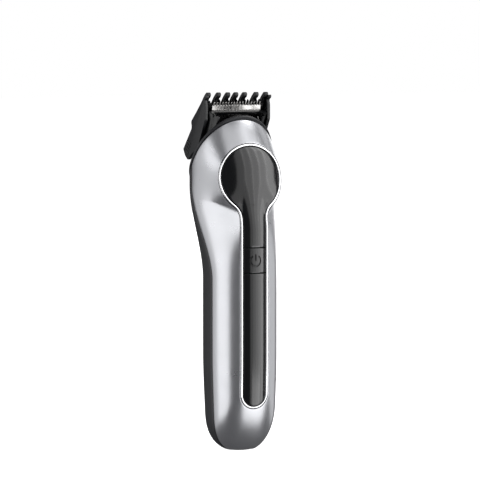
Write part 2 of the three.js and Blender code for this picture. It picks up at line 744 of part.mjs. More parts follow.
function fixedBlade() {
  const plate = plateAlongY(toothedPlate(carrierHalfWidth - 0.6, carrierLow + 1, cutterBandTop + 0.4,
    fixedToothTop, 0.55), fixedBottom, fixedTop);
  const holes = [-1, 1].map((side) =>
    rodAlongY(screwRadius + gap, carrierTop, fixedTop + 1, side * bladeScrewOut, bladeScrewLow, 12));
  const lands = [-1, 1].map((side) => rodAlongY(landRadius, carrierTop + gap, fixedBottom + 0.5,
    side * bladeScrewOut, bladeScrewLow, 16));
  return cut(join(plate, ...lands), ...holes);
}
const cutterBlade = () => plateAlongY(
  toothedPlate(cutterHalfWidth, cutterLow, cutterBandTop, cutterToothTop, 0.6),
  cutterBottom, cutterBottom + bladeThickness);

function cutterDriver() {
  const middle = (slotLow + slotHigh) / 2;
  const half = (slotHigh - slotLow) / 2;
  const shape = roundedRectangle(slotHalf + driverWall, half + driverWall, 1, 0, middle);
  shape.holes.push(roundedRectangle(slotHalf, half, 0.6, 0, middle));
  return plateAlongY(shape, driverBottom, carrierTop, 3);
}

function bladeScrew(side) {
  const x = side * bladeScrewOut;
  return join(rodAlongY(screwRadius, carrierTop - 3.5, fixedTop + 1, x, bladeScrewLow, 12),
    rodAlongY(2.3, fixedTop + gap, fixedTop + 1.4, x, bladeScrewLow, 16));
}

function tensionSpring() {
  const out = carrierHalfWidth - carrierRail - 1.3;
  const back = slotLow - driverWall - 2.0;
  const level = (carrierBottom + carrierTop) / 2 - 0.4;
  const side = (s) => [
    [s * (out - 1.0), level + 1.6, -2.2], [s * out, level + 0.2, -3.4],
    [s * (out + 0.5), level, -6], [s * (out + 0.2), level, back + 3.5], [s * (out - 2.5), level, back],
  ];
  const points = [...side(-1), [0, level, back], ...side(1).reverse()];
  const path = new THREE.CatmullRomCurve3(points.map((p) => new THREE.Vector3(...p)));
  const section = new THREE.Shape();
  section.absarc(0, 0, 0.45, 0, tau, false);
  return new THREE.ExtrudeGeometry(section,
    { steps: 26, curveSegments: 4, bevelEnabled: false, extrudePath: path });
}

// ---------------------------------------------------------------- comb
const combFront = fixedTop + combStandOff;

function combAttachment() {
  // Side views, as places out of the head plane and along it.
  const from = (points) => outline(points.map(([out, along]) => [combFront + out, along]));
  const wallFoot = carrierTop - combFront + gap;
  const wallProfile = from([
    [-1.4, 4.8], [-2.5, 6.4], [-2.4, 7.5], [-1.6, combTop - 0.5], [-0.8, 6.9], [0.5, 4.2], [1.5, 1.0],
    [3.6, -5.2], [6.2, -12.0], [5.9, -13.2], [4.5, -14.3], [4.1, -15.6],
    [7.1, carrierLow - 3.6], [3.5, carrierLow - 5.4], [-0.2, carrierLow - 5.6], [-1.1, carrierLow - 3.8],
    [wallFoot + 0.6, carrierLow], [wallFoot - wallReach, -20.5], [wallFoot - wallReach, -3],
    [wallFoot, 3]]);
  const finProfile = from([
    [0, combTop - 2.1], [-0.9, combTop - 1.9], [-1.2, combTop - 1.0], [-0.8, combTop - 0.25],
    [0.1, combTop], [1.1, combTop - 0.6], [2.2, 4.6], [4.2, -4.2], [4.4, -8], [0, -8]]);
  const walls = [-1, 1].map((side) => plateAlongX(wallProfile,
    side < 0 ? -combHalfWidth : combHalfWidth - combWall,
    side < 0 ? combWall - combHalfWidth : combHalfWidth));
  const fins = finShares.map((share) =>
    plateAlongX(finProfile, share * finOut - finWidth / 2, share * finOut + finWidth / 2));
  const wallMiddle = combHalfWidth - combWall / 2;
  const flanges = [-1, 1].map((side) => {
    const edges = [side * wallMiddle, side * (wallMiddle - combWall / 2 - flangeReach)];
    return block(Math.min(...edges), Math.max(...edges), combFront + 0.1, combFront + 1.3, -21, 3);
  });
  const bars = [
    block(-wallMiddle, wallMiddle, combFront + 1.8, combFront + 3.6, -7.8, -4.8),
    block(-wallMiddle, wallMiddle, combFront + 3.0, combFront + 5.0, carrierLow - 2.5, carrierLow + 2.5)];
  return join(walls[0], walls[1], ...bars, ...flanges, ...fins);
}

// ---------------------------------------------------------------- finishes
const finish = (color, roughness, metalness) => () =>
  new THREE.MeshStandardMaterial({ color, roughness, metalness });
const satinSilver = finish(0xb4b6bc, 0.35, 0.85);
const blackHousing = finish(0x1d1e21, 0.45, 0);
const glossBlack = finish(0x0c0d0f, 0.12, 0);
const chrome = finish(0xf2f2f4, 0.08, 1);
const blackComb = finish(0x17181b, 0.4, 0);
const bladeSteel = finish(0xd8d8d6, 0.25, 1);
const greySteel = finish(0x8f9296, 0.35, 1);
const boardGreen = finish(0x1f5b3a, 0.5, 0);
const cellWrap = finish(0x2f6fa8, 0.4, 0);
const brass = finish(0xc9a257, 0.3, 1);

// ---------------------------------------------------------------- assembly
const clipper = new THREE.Group();
clipper.position.y = -plugBack;
const head = new THREE.Group();
head.position.set(0, headApexY, headApexZ);
head.rotation.x = headTilt;
clipper.add(head);

function place(group, name, geometry, material) {
  const mesh = new THREE.Mesh(geometry, material());
  mesh.name = name;
  group.add(mesh);
}

place(clipper, 'front_cover', frontCover(), satinSilver);
place(clipper, 'rear_housing', rearHousing(), blackHousing);
place(clipper, 'base_plug', basePlug(), blackHousing);
place(clipper, 'trim_bezel', trimBezel(), chrome);
place(clipper, 'upper_panel', upperPanel(), glossBlack);
place(clipper, 'lower_panel', lowerPanel(), glossBlack);
place(clipper, 'power_button', powerButton(), glossBlack);
housingScrews.forEach((screw, i) =>
  place(clipper, `housing_screw_${i + 1}`, housingScrew(screw), greySteel));
place(clipper, 'circuit_board', circuitBoard(), boardGreen);
place(clipper, 'switch_body', switchBody(), blackHousing);
place(clipper, 'switch_plunger', switchPlunger(), blackComb);
place(clipper, 'battery_cell', batteryCell(), cellWrap);
place(clipper, 'battery_contact_negative', batteryContact(cellLow - gap - contactSheet), greySteel);
place(clipper, 'battery_contact_positive',
  batteryContact(cellLow + cellLength + cellCap + gap), greySteel);
place(clipper, 'motor_can', motorCan(), greySteel);
place(clipper, 'motor_end_cap', motorEndCap(), blackHousing);
place(clipper, 'motor_mount', motorMount(), greySteel);
place(clipper, 'shaft_bush', shaftBush(), brass);
place(clipper, 'drive_shaft', driveShaft(), greySteel);
place(clipper, 'eccentric_cam', eccentricCam(), blackComb);
place(head, 'head_frame', headFrame(), blackHousing);
place(head, 'blade_carrier', bladeCarrier(), blackComb);
place(head, 'fixed_blade', fixedBlade(), bladeSteel);
place(head, 'cutter_blade', cutterBlade(), bladeSteel);
place(head, 'cutter_driver', cutterDriver(), blackComb);
place(head, 'tension_spring', tensionSpring(), bladeSteel);
place(head, 'comb_attachment', combAttachment(), blackComb);
for (const [side, word] of [[-1, 'left'], [1, 'right']]) {
  place(clipper, `charge_contact_${word}`, chargeContact(side), brass);
  place(clipper, `motor_screw_${word}`, motorScrew(side), greySteel);
  place(head, `blade_screw_${word}`, bladeScrew(side), greySteel);
}

export default clipper;
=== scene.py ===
import math

import bmesh
import bpy
from mathutils import Matrix, Vector


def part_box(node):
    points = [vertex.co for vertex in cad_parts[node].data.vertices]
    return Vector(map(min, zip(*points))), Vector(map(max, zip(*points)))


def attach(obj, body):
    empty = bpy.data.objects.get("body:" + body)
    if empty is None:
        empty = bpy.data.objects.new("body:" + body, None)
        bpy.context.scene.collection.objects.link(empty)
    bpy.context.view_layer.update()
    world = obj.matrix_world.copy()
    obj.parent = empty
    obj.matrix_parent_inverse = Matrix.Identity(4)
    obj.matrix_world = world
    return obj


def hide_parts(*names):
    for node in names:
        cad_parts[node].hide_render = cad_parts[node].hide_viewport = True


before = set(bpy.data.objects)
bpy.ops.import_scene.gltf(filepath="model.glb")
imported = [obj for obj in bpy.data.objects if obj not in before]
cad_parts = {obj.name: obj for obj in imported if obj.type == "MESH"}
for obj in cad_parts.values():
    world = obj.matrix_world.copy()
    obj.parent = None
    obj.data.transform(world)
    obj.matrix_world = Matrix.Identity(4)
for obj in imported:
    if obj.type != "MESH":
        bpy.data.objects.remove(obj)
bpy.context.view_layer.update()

MM = 0.001

# ---------------------------------------------------------------- sizes of the casing
seam = 0.3                       # clearance between pieces that seat on each other
handle_half_width = 17.4
head_half_width = 22.0
handle_front_depth = 14.4        # parting line to the middle of the front
handle_rear_depth = 17.1
head_rear_depth = 10.4
head_setback = 13.9              # the head's parting line behind the handle's
end_setback = 2.2                # the same at the round end
neck_low = 86.0
neck_high = 133.0
end_round = 22.0
end_squareness = 2.5
end_dip = 1.1
end_taper = 0.07
end_taper_height = 50.0
wall = 2.0
rear_squareness = 4.5
head_squareness = 2.5
arch_base = 143.0
arch_rise = 23.0
head_tilt = math.atan(0.6)
plug_back = 3.0
cover_roll = 1.0                 # rounded edge of the cover along the parting line
housing_roll = 0.7
edge_roll = 0.3                  # rounded edge of a small moulding

# ---------------------------------------------------------------- sizes of the insert
disc_radius = 17.2
disc_height = 137.0
strip_half_width = 7.42
strip_end = 22.2
neck_fillet = 8.0
trim_width = 1.05
trim_depth = 2.4
trim_proud = 0.25
disc_edge_depth = -7.3
edge_rise_low = 111.0
edge_rise_high = 142.0
disc_crown = 3.2
strip_crown = 1.35
panel_thickness = 1.6
panel_offset = trim_width + seam
button_height = 96.3
button_length = 12.4
stem_radius = 1.5
mark_radius = 2.75               # power mark: ring, measured to the middle of its stroke
mark_stroke = 0.42               # half the width of the stroke

# ---------------------------------------------------------------- sizes of the blade head
frame_top = 1.8
rim_overhang = 1.6
rim_side = 0.3
skirt_inset = 4.2
carrier_half_width = 15.9
carrier_base_half_width = 13.0
carrier_low = -26.0
carrier_bottom = frame_top + seam
carrier_top = 8.4
carrier_rail = 4.0
cutter_half_width = 13.4
blade_thickness = 1.3
tooth_count = 17
cutter_band_top = 2.4
cutter_tooth_top = 4.2
fixed_tooth_top = 4.7
blade_screw_out = 9.0
blade_screw_low = -21.5
cutter_bottom = carrier_top + seam
fixed_bottom = cutter_bottom + blade_thickness + seam
fixed_top = fixed_bottom + blade_thickness
cutter_low = -14.3
comb_half_width = 18.25
comb_wall = 1.75
wall_reach = 3.6                   # how far the comb's walls reach down beside the carrier
comb_top = 8.4
fin_width = 2.6
fin_out = 15.95                    # the outermost fins, from the middle
comb_front = fixed_top + 0.5


# ---------------------------------------------------------------- small tools
def clamp(t):
    return min(1.0, max(0.0, t))


def smooth(t):
    t = clamp(t)
    return t * t * (3 - 2 * t)


def mix(a, b, t):
    return a + (b - a) * t


def spread(low, high, steps):
    """Even steps from low to high, both ends included."""
    return [mix(low, high, k / steps) for k in range(steps + 1)]


def round_corner(before, corner, after, steps=4):
    """A short curve from one point to another that bends at the corner between them."""
    return [
        before * (1 - t) ** 2 + corner * (2 * t * (1 - t)) + after * t**2
        for t in spread(0, 1, steps)
    ]


def rounded(points, radius, steps=4):
    """A closed outline with each of its corners rounded."""
    corners = [Vector(p) for p in points]
    result = []
    for i, corner in enumerate(corners):
        back = corners[i - 1] - corner
        ahead = corners[(i + 1) % len(corners)] - corner
        reach = min(radius, 0.45 * back.length, 0.45 * ahead.length)
        result += round_corner(
            corner + back.normalized() * reach,
            corner,
            corner + ahead.normalized() * reach,
            steps,
        )
    return [tuple(p) for p in result]


def box_outline(x_low, x_high, y_low, y_high):
    return [(x_low, y_low), (x_high, y_low), (x_high, y_high), (x_low, y_high)]


def circle(radius, x=0.0, y=0.0, steps=32):
    return [
        (x + radius * math.cos(a), y + radius * math.sin(a))
        for a in spread(0, math.tau, steps)[:-1]
    ]


def oval(half_x, upper, lower, centre, steps=96):
    """A closed curve whose upper and lower halves rise by different amounts."""
    return [
        (half_x * math.cos(a), centre + math.sin(a) * (upper if a < math.pi else lower))
        for a in spread(0, math.tau, steps)[:-1]
    ]


# A shape is a list of points and a list of faces.
def prism(outline, low, high, axis):
    """The outline drawn out along an axis."""
    ends = []
    for level in (low, high):
        for a, b in outline:
            ends.append({"x": (level, a, b), "y": (a, level, b), "z": (a, b, level)}[axis])
    count = len(outline)
    faces = [tuple(range(count)), tuple(range(2 * count - 1, count - 1, -1))]
    for i in range(count):
        j = (i + 1) % count
        faces.append((i, j, count + j, count + i))
    return ends, faces


def loft(rings, closed=False):
    """Skins a row of rings that have the same number of points; closed joins the last to the first."""
    count = len(rings[0])
    faces = []
    for r in range(len(rings) if closed else len(rings) - 1):
        low, high = r * count, (r + 1) % len(rings) * count
        for i in range(count):
            j = (i + 1) % count
            faces.append((low + i, low + j, high + j, high + i))
    if not closed:
        faces.append(tuple(range(count)))
        faces.append(tuple(range((len(rings) - 1) * count, len(rings) * count)))
    return [tuple(p) for ring in rings for p in ring], faces


# The casing's own frame is measured from the handle's parting line, the head's from its plane.
CASING = Matrix.Scale(MM, 4) @ Matrix.Translation((0, -plug_back, 0))
head_apex_z = arch_base + arch_rise
head_apex_y = head_setback - arch_rise * math.tan(head_tilt)
HEAD = (
    CASING
    @ Matrix.Translation((0, head_apex_y, head_apex_z))
    @ Matrix.Rotation(head_tilt, 4, "X")
)
head_normal = Vector((0, math.cos(head_tilt), math.sin(head_tilt)))


def mesh_object(name, shape, place):
    """A linked object from a shape, with merged points and its faces pointing out."""
    mesh = bpy.data.meshes.new(name)
    mesh.from_pydata([place @ Vector(p) for p in shape[0]], [], shape[1])
    piece = bpy.data.objects.new(name, mesh)
    bpy.context.scene.collection.objects.link(piece)
    clean(piece)
    return piece


def clean(piece):
    body = bmesh.new()
    body.from_mesh(piece.data)
    bmesh.ops.remove_doubles(body, verts=body.verts, dist=2e-6)
    bmesh.ops.dissolve_degenerate(body, edges=body.edges, dist=1e-6)
    bmesh.ops.recalc_face_normals(body, faces=body.faces)
    body.to_mesh(piece.data)
    body.free()


def apply_modifiers(piece):
    """Keeps what the piece's modifiers make as its own mesh."""
    state = bpy.context.evaluated_depsgraph_get()
    made = bpy.data.meshes.new_from_object(piece.evaluated_get(state))
    piece.modifiers.clear()
    piece.data = made


def carve(piece, shapes, place, operation="DIFFERENCE"):
    """Cuts the shapes out of the piece, or joins them to it."""
    for shape in shapes:
        tool = mesh_object("tool", shape, place)
        step = piece.modifiers.new("carve", "BOOLEAN")
        step.operation = operation
        step.solver = "EXACT"
        step.object = tool
        apply_modifiers(piece)
        bpy.data.objects.remove(tool)


def soften(piece, width, segments=2, angle=40):
    """Rounds the edges of a moulding by a width in millimetres."""
    step = piece.modifiers.new("soften", "BEVEL")
    step.width = width * MM
    step.segments = segments
    step.limit_method = "ANGLE"
    step.angle_limit = math.radians(angle)
    step.use_clamp_overlap = True
    apply_modifiers(piece)


def present(piece, material, body, nodes, sharp=38):
    """Shades a piece, gives it its finish and ties it to the frame."""
    piece.data.materials.clear()
    piece.data.materials.append(material)
    piece.data.shade_smooth()
    piece.data.set_sharp_from_angle(angle=math.radians(sharp))
    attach(piece, body)
    if nodes:
        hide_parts(*nodes)
    return piece


# ---------------------------------------------------------------- casing surface
def neck(z):
    return smooth((z - neck_low) / (neck_high - neck_low))


def end_share(z, inset=0.0):
    t = clamp((z + end_dip - inset) / (end_round + end_dip - inset))
    dome = (1 - (1 - t) ** end_squareness) ** (1 / end_squareness)
    return (1 - end_taper) * dome + end_taper * smooth((z - inset) / end_taper_height)


def parting_y(z):
    return head_setback * neck(z) + end_setback * (1 - smooth(z / end_round))


def half_width(z):
    return mix(handle_half_width, head_half_width, neck(z))


def rear_depth(z):
    return mix(handle_rear_depth, head_rear_depth, neck(z))


def head_plane_y(z):
    return head_apex_y + (head_apex_z - z) * math.tan(head_tilt)


# The insert's outline is named by its stretch and a share along it (a height on the strip).
strip_end_centre = strip_end + strip_half_width
neck_fillet_x = strip_half_width + neck_fillet
neck_fillet_z = disc_height - math.sqrt((disc_radius + neck_fillet) ** 2 - neck_fillet_x**2)
neck_angle = math.atan2(neck_fillet_x, disc_height - neck_fillet_z)
tangent_z = disc_height - disc_radius * math.cos(neck_angle)
button_low = button_height - button_length / 2
button_high = button_height + button_length / 2


def outline_point(stretch, share, offset):
    """A point of the insert's outline moved inwards, and the height it faces on the middle line."""
    if stretch == "crown":
        a, r = share * math.pi / 2, disc_radius - offset
        return r * math.sin(a), disc_height + r * math.cos(a), disc_height
    if stretch == "flank":
        a, r = mix(math.pi / 2, math.pi - neck_angle, share), disc_radius - offset
        return r * math.sin(a), disc_height + r * math.cos(a), mix(disc_height, tangent_z, share)
    if stretch == "fillet":
        a, r = mix(neck_angle, math.pi / 2, share), neck_fillet + offset
        z = neck_fillet_z + r * math.cos(a)
        return neck_fillet_x - r * math.sin(a), z, z
    if stretch == "strip":
        return strip_half_width - offset, share, share
    a, r = share * math.pi / 2, strip_half_width - offset
    return r * math.cos(a), strip_end_centre - r * math.sin(a), strip_end_centre


def stations(crown=44, flank=16, fillet=14, strip=40, end=24):
    """The whole outline from the top of the disc to the lowest point of the strip."""
    rows = [("crown", s) for s in spread(0, 1, crown)]
    rows += [("flank", s) for s in spread(0, 1, flank)[1:]]
    rows += [("fillet", s) for s in spread(0, 1, fillet)[1:]]
    rows += [("strip", z) for z in spread(neck_fillet_z, strip_end_centre, strip)[1:]]
    return rows + [("end", s) for s in spread(0, 1, end)[1:]]


def edge_depth(z):
    """Depth of the insert's edge: on the handle's front ellipse, leaning back to the disc's edge."""
    share = end_share(z)
    across = min(0.95, strip_half_width / (handle_half_width * share))
    on_handle = -handle_front_depth * share * math.sqrt(1 - across**2)
    lean = smooth((z - edge_rise_low) / (edge_rise_high - edge_rise_low))
    return mix(on_handle, disc_edge_depth, lean)


def facing_height(z):
    """Height on the parting line that faces a height on the insert's side."""
    low = neck_fillet_z - 16
    return z + (arch_base - disc_height) * smooth((z - low) / (disc_height - low))


def parting_point(stretch, share):
    """The point of the parting line that a station of the insert's outline faces."""
    if stretch == "crown":
        a = share * math.pi / 2
        z = arch_base + arch_rise * math.cos(a)
        return Vector((head_half_width * math.sin(a), head_plane_y(z), z))
    if stretch == "end":
        z = (strip_end_centre + end_dip) * (1 - math.sin(share * math.pi / 2)) - end_dip
    else:
        z = facing_height(outline_point(stretch, share, -seam)[1])
    return Vector((half_width(z) * end_share(z), parting_y(z), z))


def cover_curve(stretch, share, steps=60):
    """A cubic from the parting line to the insert's edge."""
    start = parting_point(stretch, share)
    x, z, _ = outline_point(stretch, share, -seam)
    end = Vector((x, edge_depth(z), z))
    reach = start - end
    arch = math.cos(share * math.pi / 2) if stretch == "crown" else 0.0
    flare = mix(0.6, 0.3, neck(z))
    leaving = Vector((0, -mix(0.42, 0.2, min(1, 2 * arch)) * reach.y, -0.3 * reach.z * arch))
    arriving = Vector((reach.x * flare, reach.y * mix(0.18, 0.3, neck(z)), reach.z * flare))
    a, b, c, d = start, start + leaving, end + arriving, end
    return [
        a * (1 - t) ** 3 + b * (3 * t * (1 - t) ** 2) + c * (3 * t * t * (1 - t)) + d * t**3
        for t in spread(0, 1, steps)
    ]


def resampled(curve, skip_start, skip_end, steps):
    """Even steps along a curve, leaving out a length at each end."""
    lengths = [0.0]
    for p, q in zip(curve, curve[1:]):
        lengths.append(lengths[-1] + (q - p).length)
    result, i = [], 0
    for goal in spread(skip_start, lengths[-1] - skip_end, steps):
        while i < len(lengths) - 2 and lengths[i + 1] < goal:
            i += 1
        t = (goal - lengths[i]) / max(1e-9, lengths[i + 1] - lengths[i])
        result.append(curve[i].lerp(curve[i + 1], t))
    return result


def mirrored(half):
    """Completes rows given from the top to the bottom at x >= 0 to the whole loop."""
    flip = Vector((-1, 1, 1))
    return half + [[p * flip for p in row] for row in reversed(half[1:-1])]


# ---------------------------------------------------------------- finishes
def linear(hex_colour):
    """An sRGB hex colour as the linear values that shaders take."""
    values = []
    for i in (1, 3, 5):
        v = int(hex_colour[i : i + 2], 16) / 255
        values.append(v / 12.92 if v <= 0.04045 else ((v + 0.055) / 1.055) ** 2.4)
    return (*values, 1.0)


def add(tree, kind, values=None, links=None, **settings):
    """Adds a node with its settings, its socket values and what is linked into it."""
    made = tree.nodes.new("ShaderNode" + kind)
    for name, value in settings.items():
        setattr(made, name, value)
    for socket, value in (values or {}).items():
        made.inputs[socket].default_value = value
    for socket, source in (links or {}).items():
        tree.links.new(source, made.inputs[socket])
    return made


def finish(name, **sockets):
    """A material with one surface shader, its constant values set on the shader itself."""
    material = bpy.data.materials.new(name)
    material.use_nodes = True
    tree = material.node_tree
    tree.nodes.clear()
    shader = add(tree, "BsdfPrincipled")
    for socket, value in sockets.items():
        shader.inputs[socket.replace("_", " ")].default_value = value
    add(tree, "OutputMaterial", links={"Surface": shader.outputs[0]})
    return material, tree, shader


def noise(tree, size, stretch=(1, 1, 1), detail=3.0):
    """Noise whose grains are about this many millimetres across, drawn out by stretch."""
    where = add(tree, "TexCoord")
    turned = add(
        tree,
        "Mapping",
        values={"Scale": [1 / (size * MM * s) for s in stretch]},
        links={"Vector": where.outputs["Object"]},
    )
    made = add(
        tree, "TexNoise", values={"Scale": 1.0, "Detail": detail}, links={"Vector": turned.outputs[0]}
    )
    return made.outputs[0]


def vary_colour(tree, shader, amount, first, second):
    """Runs the surface's colour between two colours."""
    blend = add(
        tree, "Mix", values={6: linear(first), 7: linear(second)}, links={0: amount},
        data_type="RGBA",
    )
    tree.links.new(blend.outputs[2], shader.inputs["Base Color"])


def vary_roughness(tree, shader, amount, low, high):
    """Runs the surface's roughness between two values."""
    ranged = add(
        tree,
        "MapRange",
        values={"From Min": 0.3, "From Max": 0.7, "To Min": low, "To Max": high},
        links={"Value": amount},
    )
    tree.links.new(ranged.outputs[0], shader.inputs["Roughness"])


def relief(tree, shader, height, depth, strength=1.0, under=None):
    """Gives the surface a relief this many millimetres deep."""
    links = {"Height": height}
    if under:
        links["Normal"] = under
    bump = add(tree, "Bump", values={"Strength": strength, "Distance": depth * MM}, links=links)
    tree.links.new(bump.outputs[0], shader.inputs["Normal"])
    return bump.outputs[0]


def silver_lacquer():
    """Metallic lacquer sprayed on ABS: tiny aluminium flakes under a satin clear coat."""
    material, tree, shader = finish(
        "sprayed_silver_lacquer_on_abs", Metallic=0.9, Coat_Weight=0.25, Coat_Roughness=0.18
    )
    # real flakes are near 0.03 mm; they are drawn at 0.25 mm so that they show
    flakes = noise(tree, 0.25, detail=1.0)
    vary_colour(tree, shader, flakes, "#BFC0C4", "#C7C8CB")
    vary_roughness(tree, shader, noise(tree, 9.0), 0.27, 0.33)
    relief(tree, shader, flakes, 0.002, 0.12)
    return material


def moulded_abs():
    """ABS moulded in a spark-eroded tool: an even, fine, satin black grain."""
    material, tree, shader = finish("spark_textured_black_abs", IOR=1.53)
    grain = noise(tree, 0.35, detail=2.0)
    vary_colour(tree, shader, noise(tree, 14.0), "#1E1F22", "#242528")
    vary_roughness(tree, shader, grain, 0.4, 0.5)
    relief(tree, shader, grain, 0.02, 0.35)
    return material


def piano_black():
    """Acrylic-coated black ABS polished in the tool: a deep gloss with the odd wipe mark."""
    material, tree, shader = finish(
        "high_gloss_black_acrylic", IOR=1.49, Coat_Weight=0.3, Coat_Roughness=0.1
    )
    wipe = noise(tree, 5.0, stretch=(1.0, 1.0, 3.5))
    vary_colour(tree, shader, wipe, "#08090A", "#0C0D0F")
    vary_roughness(tree, shader, wipe, 0.1, 0.15)
    return material


def chrome_plate():
    """Electroplated chrome on ABS: a bright mirror with a faint orange peel."""
    material, tree, shader = finish("electroplated_chrome", Metallic=1.0)
    peel = noise(tree, 1.4)
    vary_colour(tree, shader, peel, "#F2F2F4", "#FAFAFB")
    vary_roughness(tree, shader, peel, 0.08, 0.16)
    relief(tree, shader, peel, 0.004, 0.3)
    return material


def comb_nylon():
    """Glass-filled nylon, injection moulded: a slightly waxy satin black with flow marks."""
    material, tree, shader = finish("moulded_black_nylon", IOR=1.53)
    flow = noise(tree, 3.0, stretch=(0.6, 1.0, 3.0))
    vary_colour(tree, shader, flow, "#0B0C0E", "#121316")
    vary_roughness(tree, shader, flow, 0.38, 0.48)
    relief(tree, shader, noise(tree, 0.3), 0.01, 0.3)
    return material


def acetal():
    """Acetal, injection moulded: smooth and slippery, a little glossier than the casing."""
    material, tree, shader = finish("moulded_black_acetal", IOR=1.48)
    sink = noise(tree, 4.0)
    vary_colour(tree, shader, sink, "#090A0B", "#0F1012")
    vary_roughness(tree, shader, sink, 0.26, 0.36)
    relief(tree, shader, noise(tree, 0.5), 0.01, 0.25)
    return material


def ground_steel():
    """Martensitic blade steel, ground towards the teeth and polished: bright, with fine lines."""
    material, tree, shader = finish("ground_blade_steel", Metallic=1.0)
    # grinding lines are near 0.02 mm apart; they are drawn at 0.3 mm so that they show
    lines = noise(tree, 0.3, stretch=(1.0, 40.0, 40.0), detail=2.0)
    vary_colour(tree, shader, lines, "#DEDBD8", "#F4F3F1")
    vary_roughness(tree, shader, lines, 0.2, 0.36)
    relief(tree, shader, lines, 0.006, 0.4)
    return material


def blackened_steel():
    """Blade steel with a black oxide bath: near black, with a dull grey shine on its edges."""
    material, tree, shader = finish("black_oxide_blade_steel", Metallic=0.85)
    lines = noise(tree, 0.4, stretch=(1.0, 12.0, 12.0), detail=2.0)
    vary_colour(tree, shader, lines, "#2A2A2B", "#3C3B3B")
    vary_roughness(tree, shader, lines, 0.3, 0.42)
    relief(tree, shader, lines, 0.006, 0.3)
    return material


def spring_steel():
    """Drawn spring wire: bright, with drawing marks along it."""
    material, tree, shader = finish("drawn_spring_wire", Metallic=1.0)
    marks = noise(tree, 0.3, stretch=(1.0, 1.0, 6.0))
    vary_colour(tree, shader, marks, "#C4C3C0", "#DAD9D6")
    vary_roughness(tree, shader, marks, 0.16, 0.3)
    return material


def zinc_plate():
    """Zinc-plated steel: greyish, with small dull spangles."""
    material, tree, shader = finish("zinc_plated_steel", Metallic=1.0)
    spangle = noise(tree, 0.8)
    vary_colour(tree, shader, spangle, "#8F9195", "#A9ABAF")
    vary_roughness(tree, shader, spangle, 0.28, 0.42)
    relief(tree, shader, noise(tree, 0.25), 0.005, 0.3)
    return material


def motor_tin():
    """Deep-drawn nickel-plated can: smooth, with drawing lines along its length."""
    material, tree, shader = finish("nickel_plated_deep_drawn_steel", Metallic=1.0)
    lines = noise(tree, 0.4, stretch=(1.0, 1.0, 30.0))
    vary_colour(tree, shader, lines, "#A6A49E", "#BAB8B2")
    vary_roughness(tree, shader, lines, 0.22, 0.36)
    relief(tree, shader, lines, 0.004, 0.3)
    return material


def turned_brass():
    """Brass turned on a lathe: warm, with fine turning rings."""
    material, tree, shader = finish("turned_brass", Metallic=1.0)
    rings = noise(tree, 0.3, stretch=(10.0, 10.0, 1.0))
    vary_colour(tree, shader, rings, "#C29A4C", "#D8B56A")
    vary_roughness(tree, shader, rings, 0.2, 0.34)
    relief(tree, shader, rings, 0.004, 0.3)
    return material


def solder_mask():
    """Green solder mask over copper tracks 0.8 mm wide on glass epoxy."""
    material, tree, shader = finish("green_solder_mask_on_glass_epoxy", IOR=1.5)
    where = add(tree, "TexCoord")
    tracks = add(
        tree, "TexBrick",
        values={
            "Color1": linear("#1C5A38"), "Color2": linear("#1A5233"), "Mortar": linear("#2E7A4C"),
            "Scale": 1 / (8 * MM), "Mortar Size": 0.05,
        },
        links={"Vector": where.outputs["Object"]},
    )
    tree.links.new(tracks.outputs["Color"], shader.inputs["Base Color"])
    vary_roughness(tree, shader, noise(tree, 2.0), 0.3, 0.42)
    relief(tree, shader, tracks.outputs["Fac"], 0.03, 0.4)
    return material


def shrink_sleeve():
    """PVC sleeve shrunk over a cell: blue, glossy, slightly wavy."""
    material, tree, shader = finish("shrunk_blue_pvc_sleeve", IOR=1.53, Coat_Weight=0.2)
    waves = noise(tree, 6.0)
    vary_colour(tree, shader, waves, "#275C93", "#3070AC")
    vary_roughness(tree, shader, waves, 0.24, 0.36)
    relief(tree, shader, waves, 0.12, 0.4)
    return material


silver = silver_lacquer()
housing_black = moulded_abs()
gloss_black = piano_black()
chrome = chrome_plate()
nylon = comb_nylon()
slippery_black = acetal()
bright_steel = ground_steel()
black_steel = blackened_steel()
wire = spring_steel()
zinc = zinc_plate()
tin = motor_tin()
brass = turned_brass()
board_green = solder_mask()
sleeve = shrink_sleeve()


# ---------------------------------------------------------------- casing pieces
def inward_at_edge(edge, i, on_arch):
    """The way from the cover's edge to the middle, in the plane that the edge lies in."""
    count = len(edge)
    along = edge[(i + 1) % count] - edge[(i - 1) % count]
    plane = head_normal if on_arch else Vector((0, 1, 0))
    inward = along.cross(plane).normalized()
    middle = Vector((0, edge[i].y, min(edge[i].z, disc_height)))
    return -inward if inward.dot(middle - edge[i]) < 0 else inward


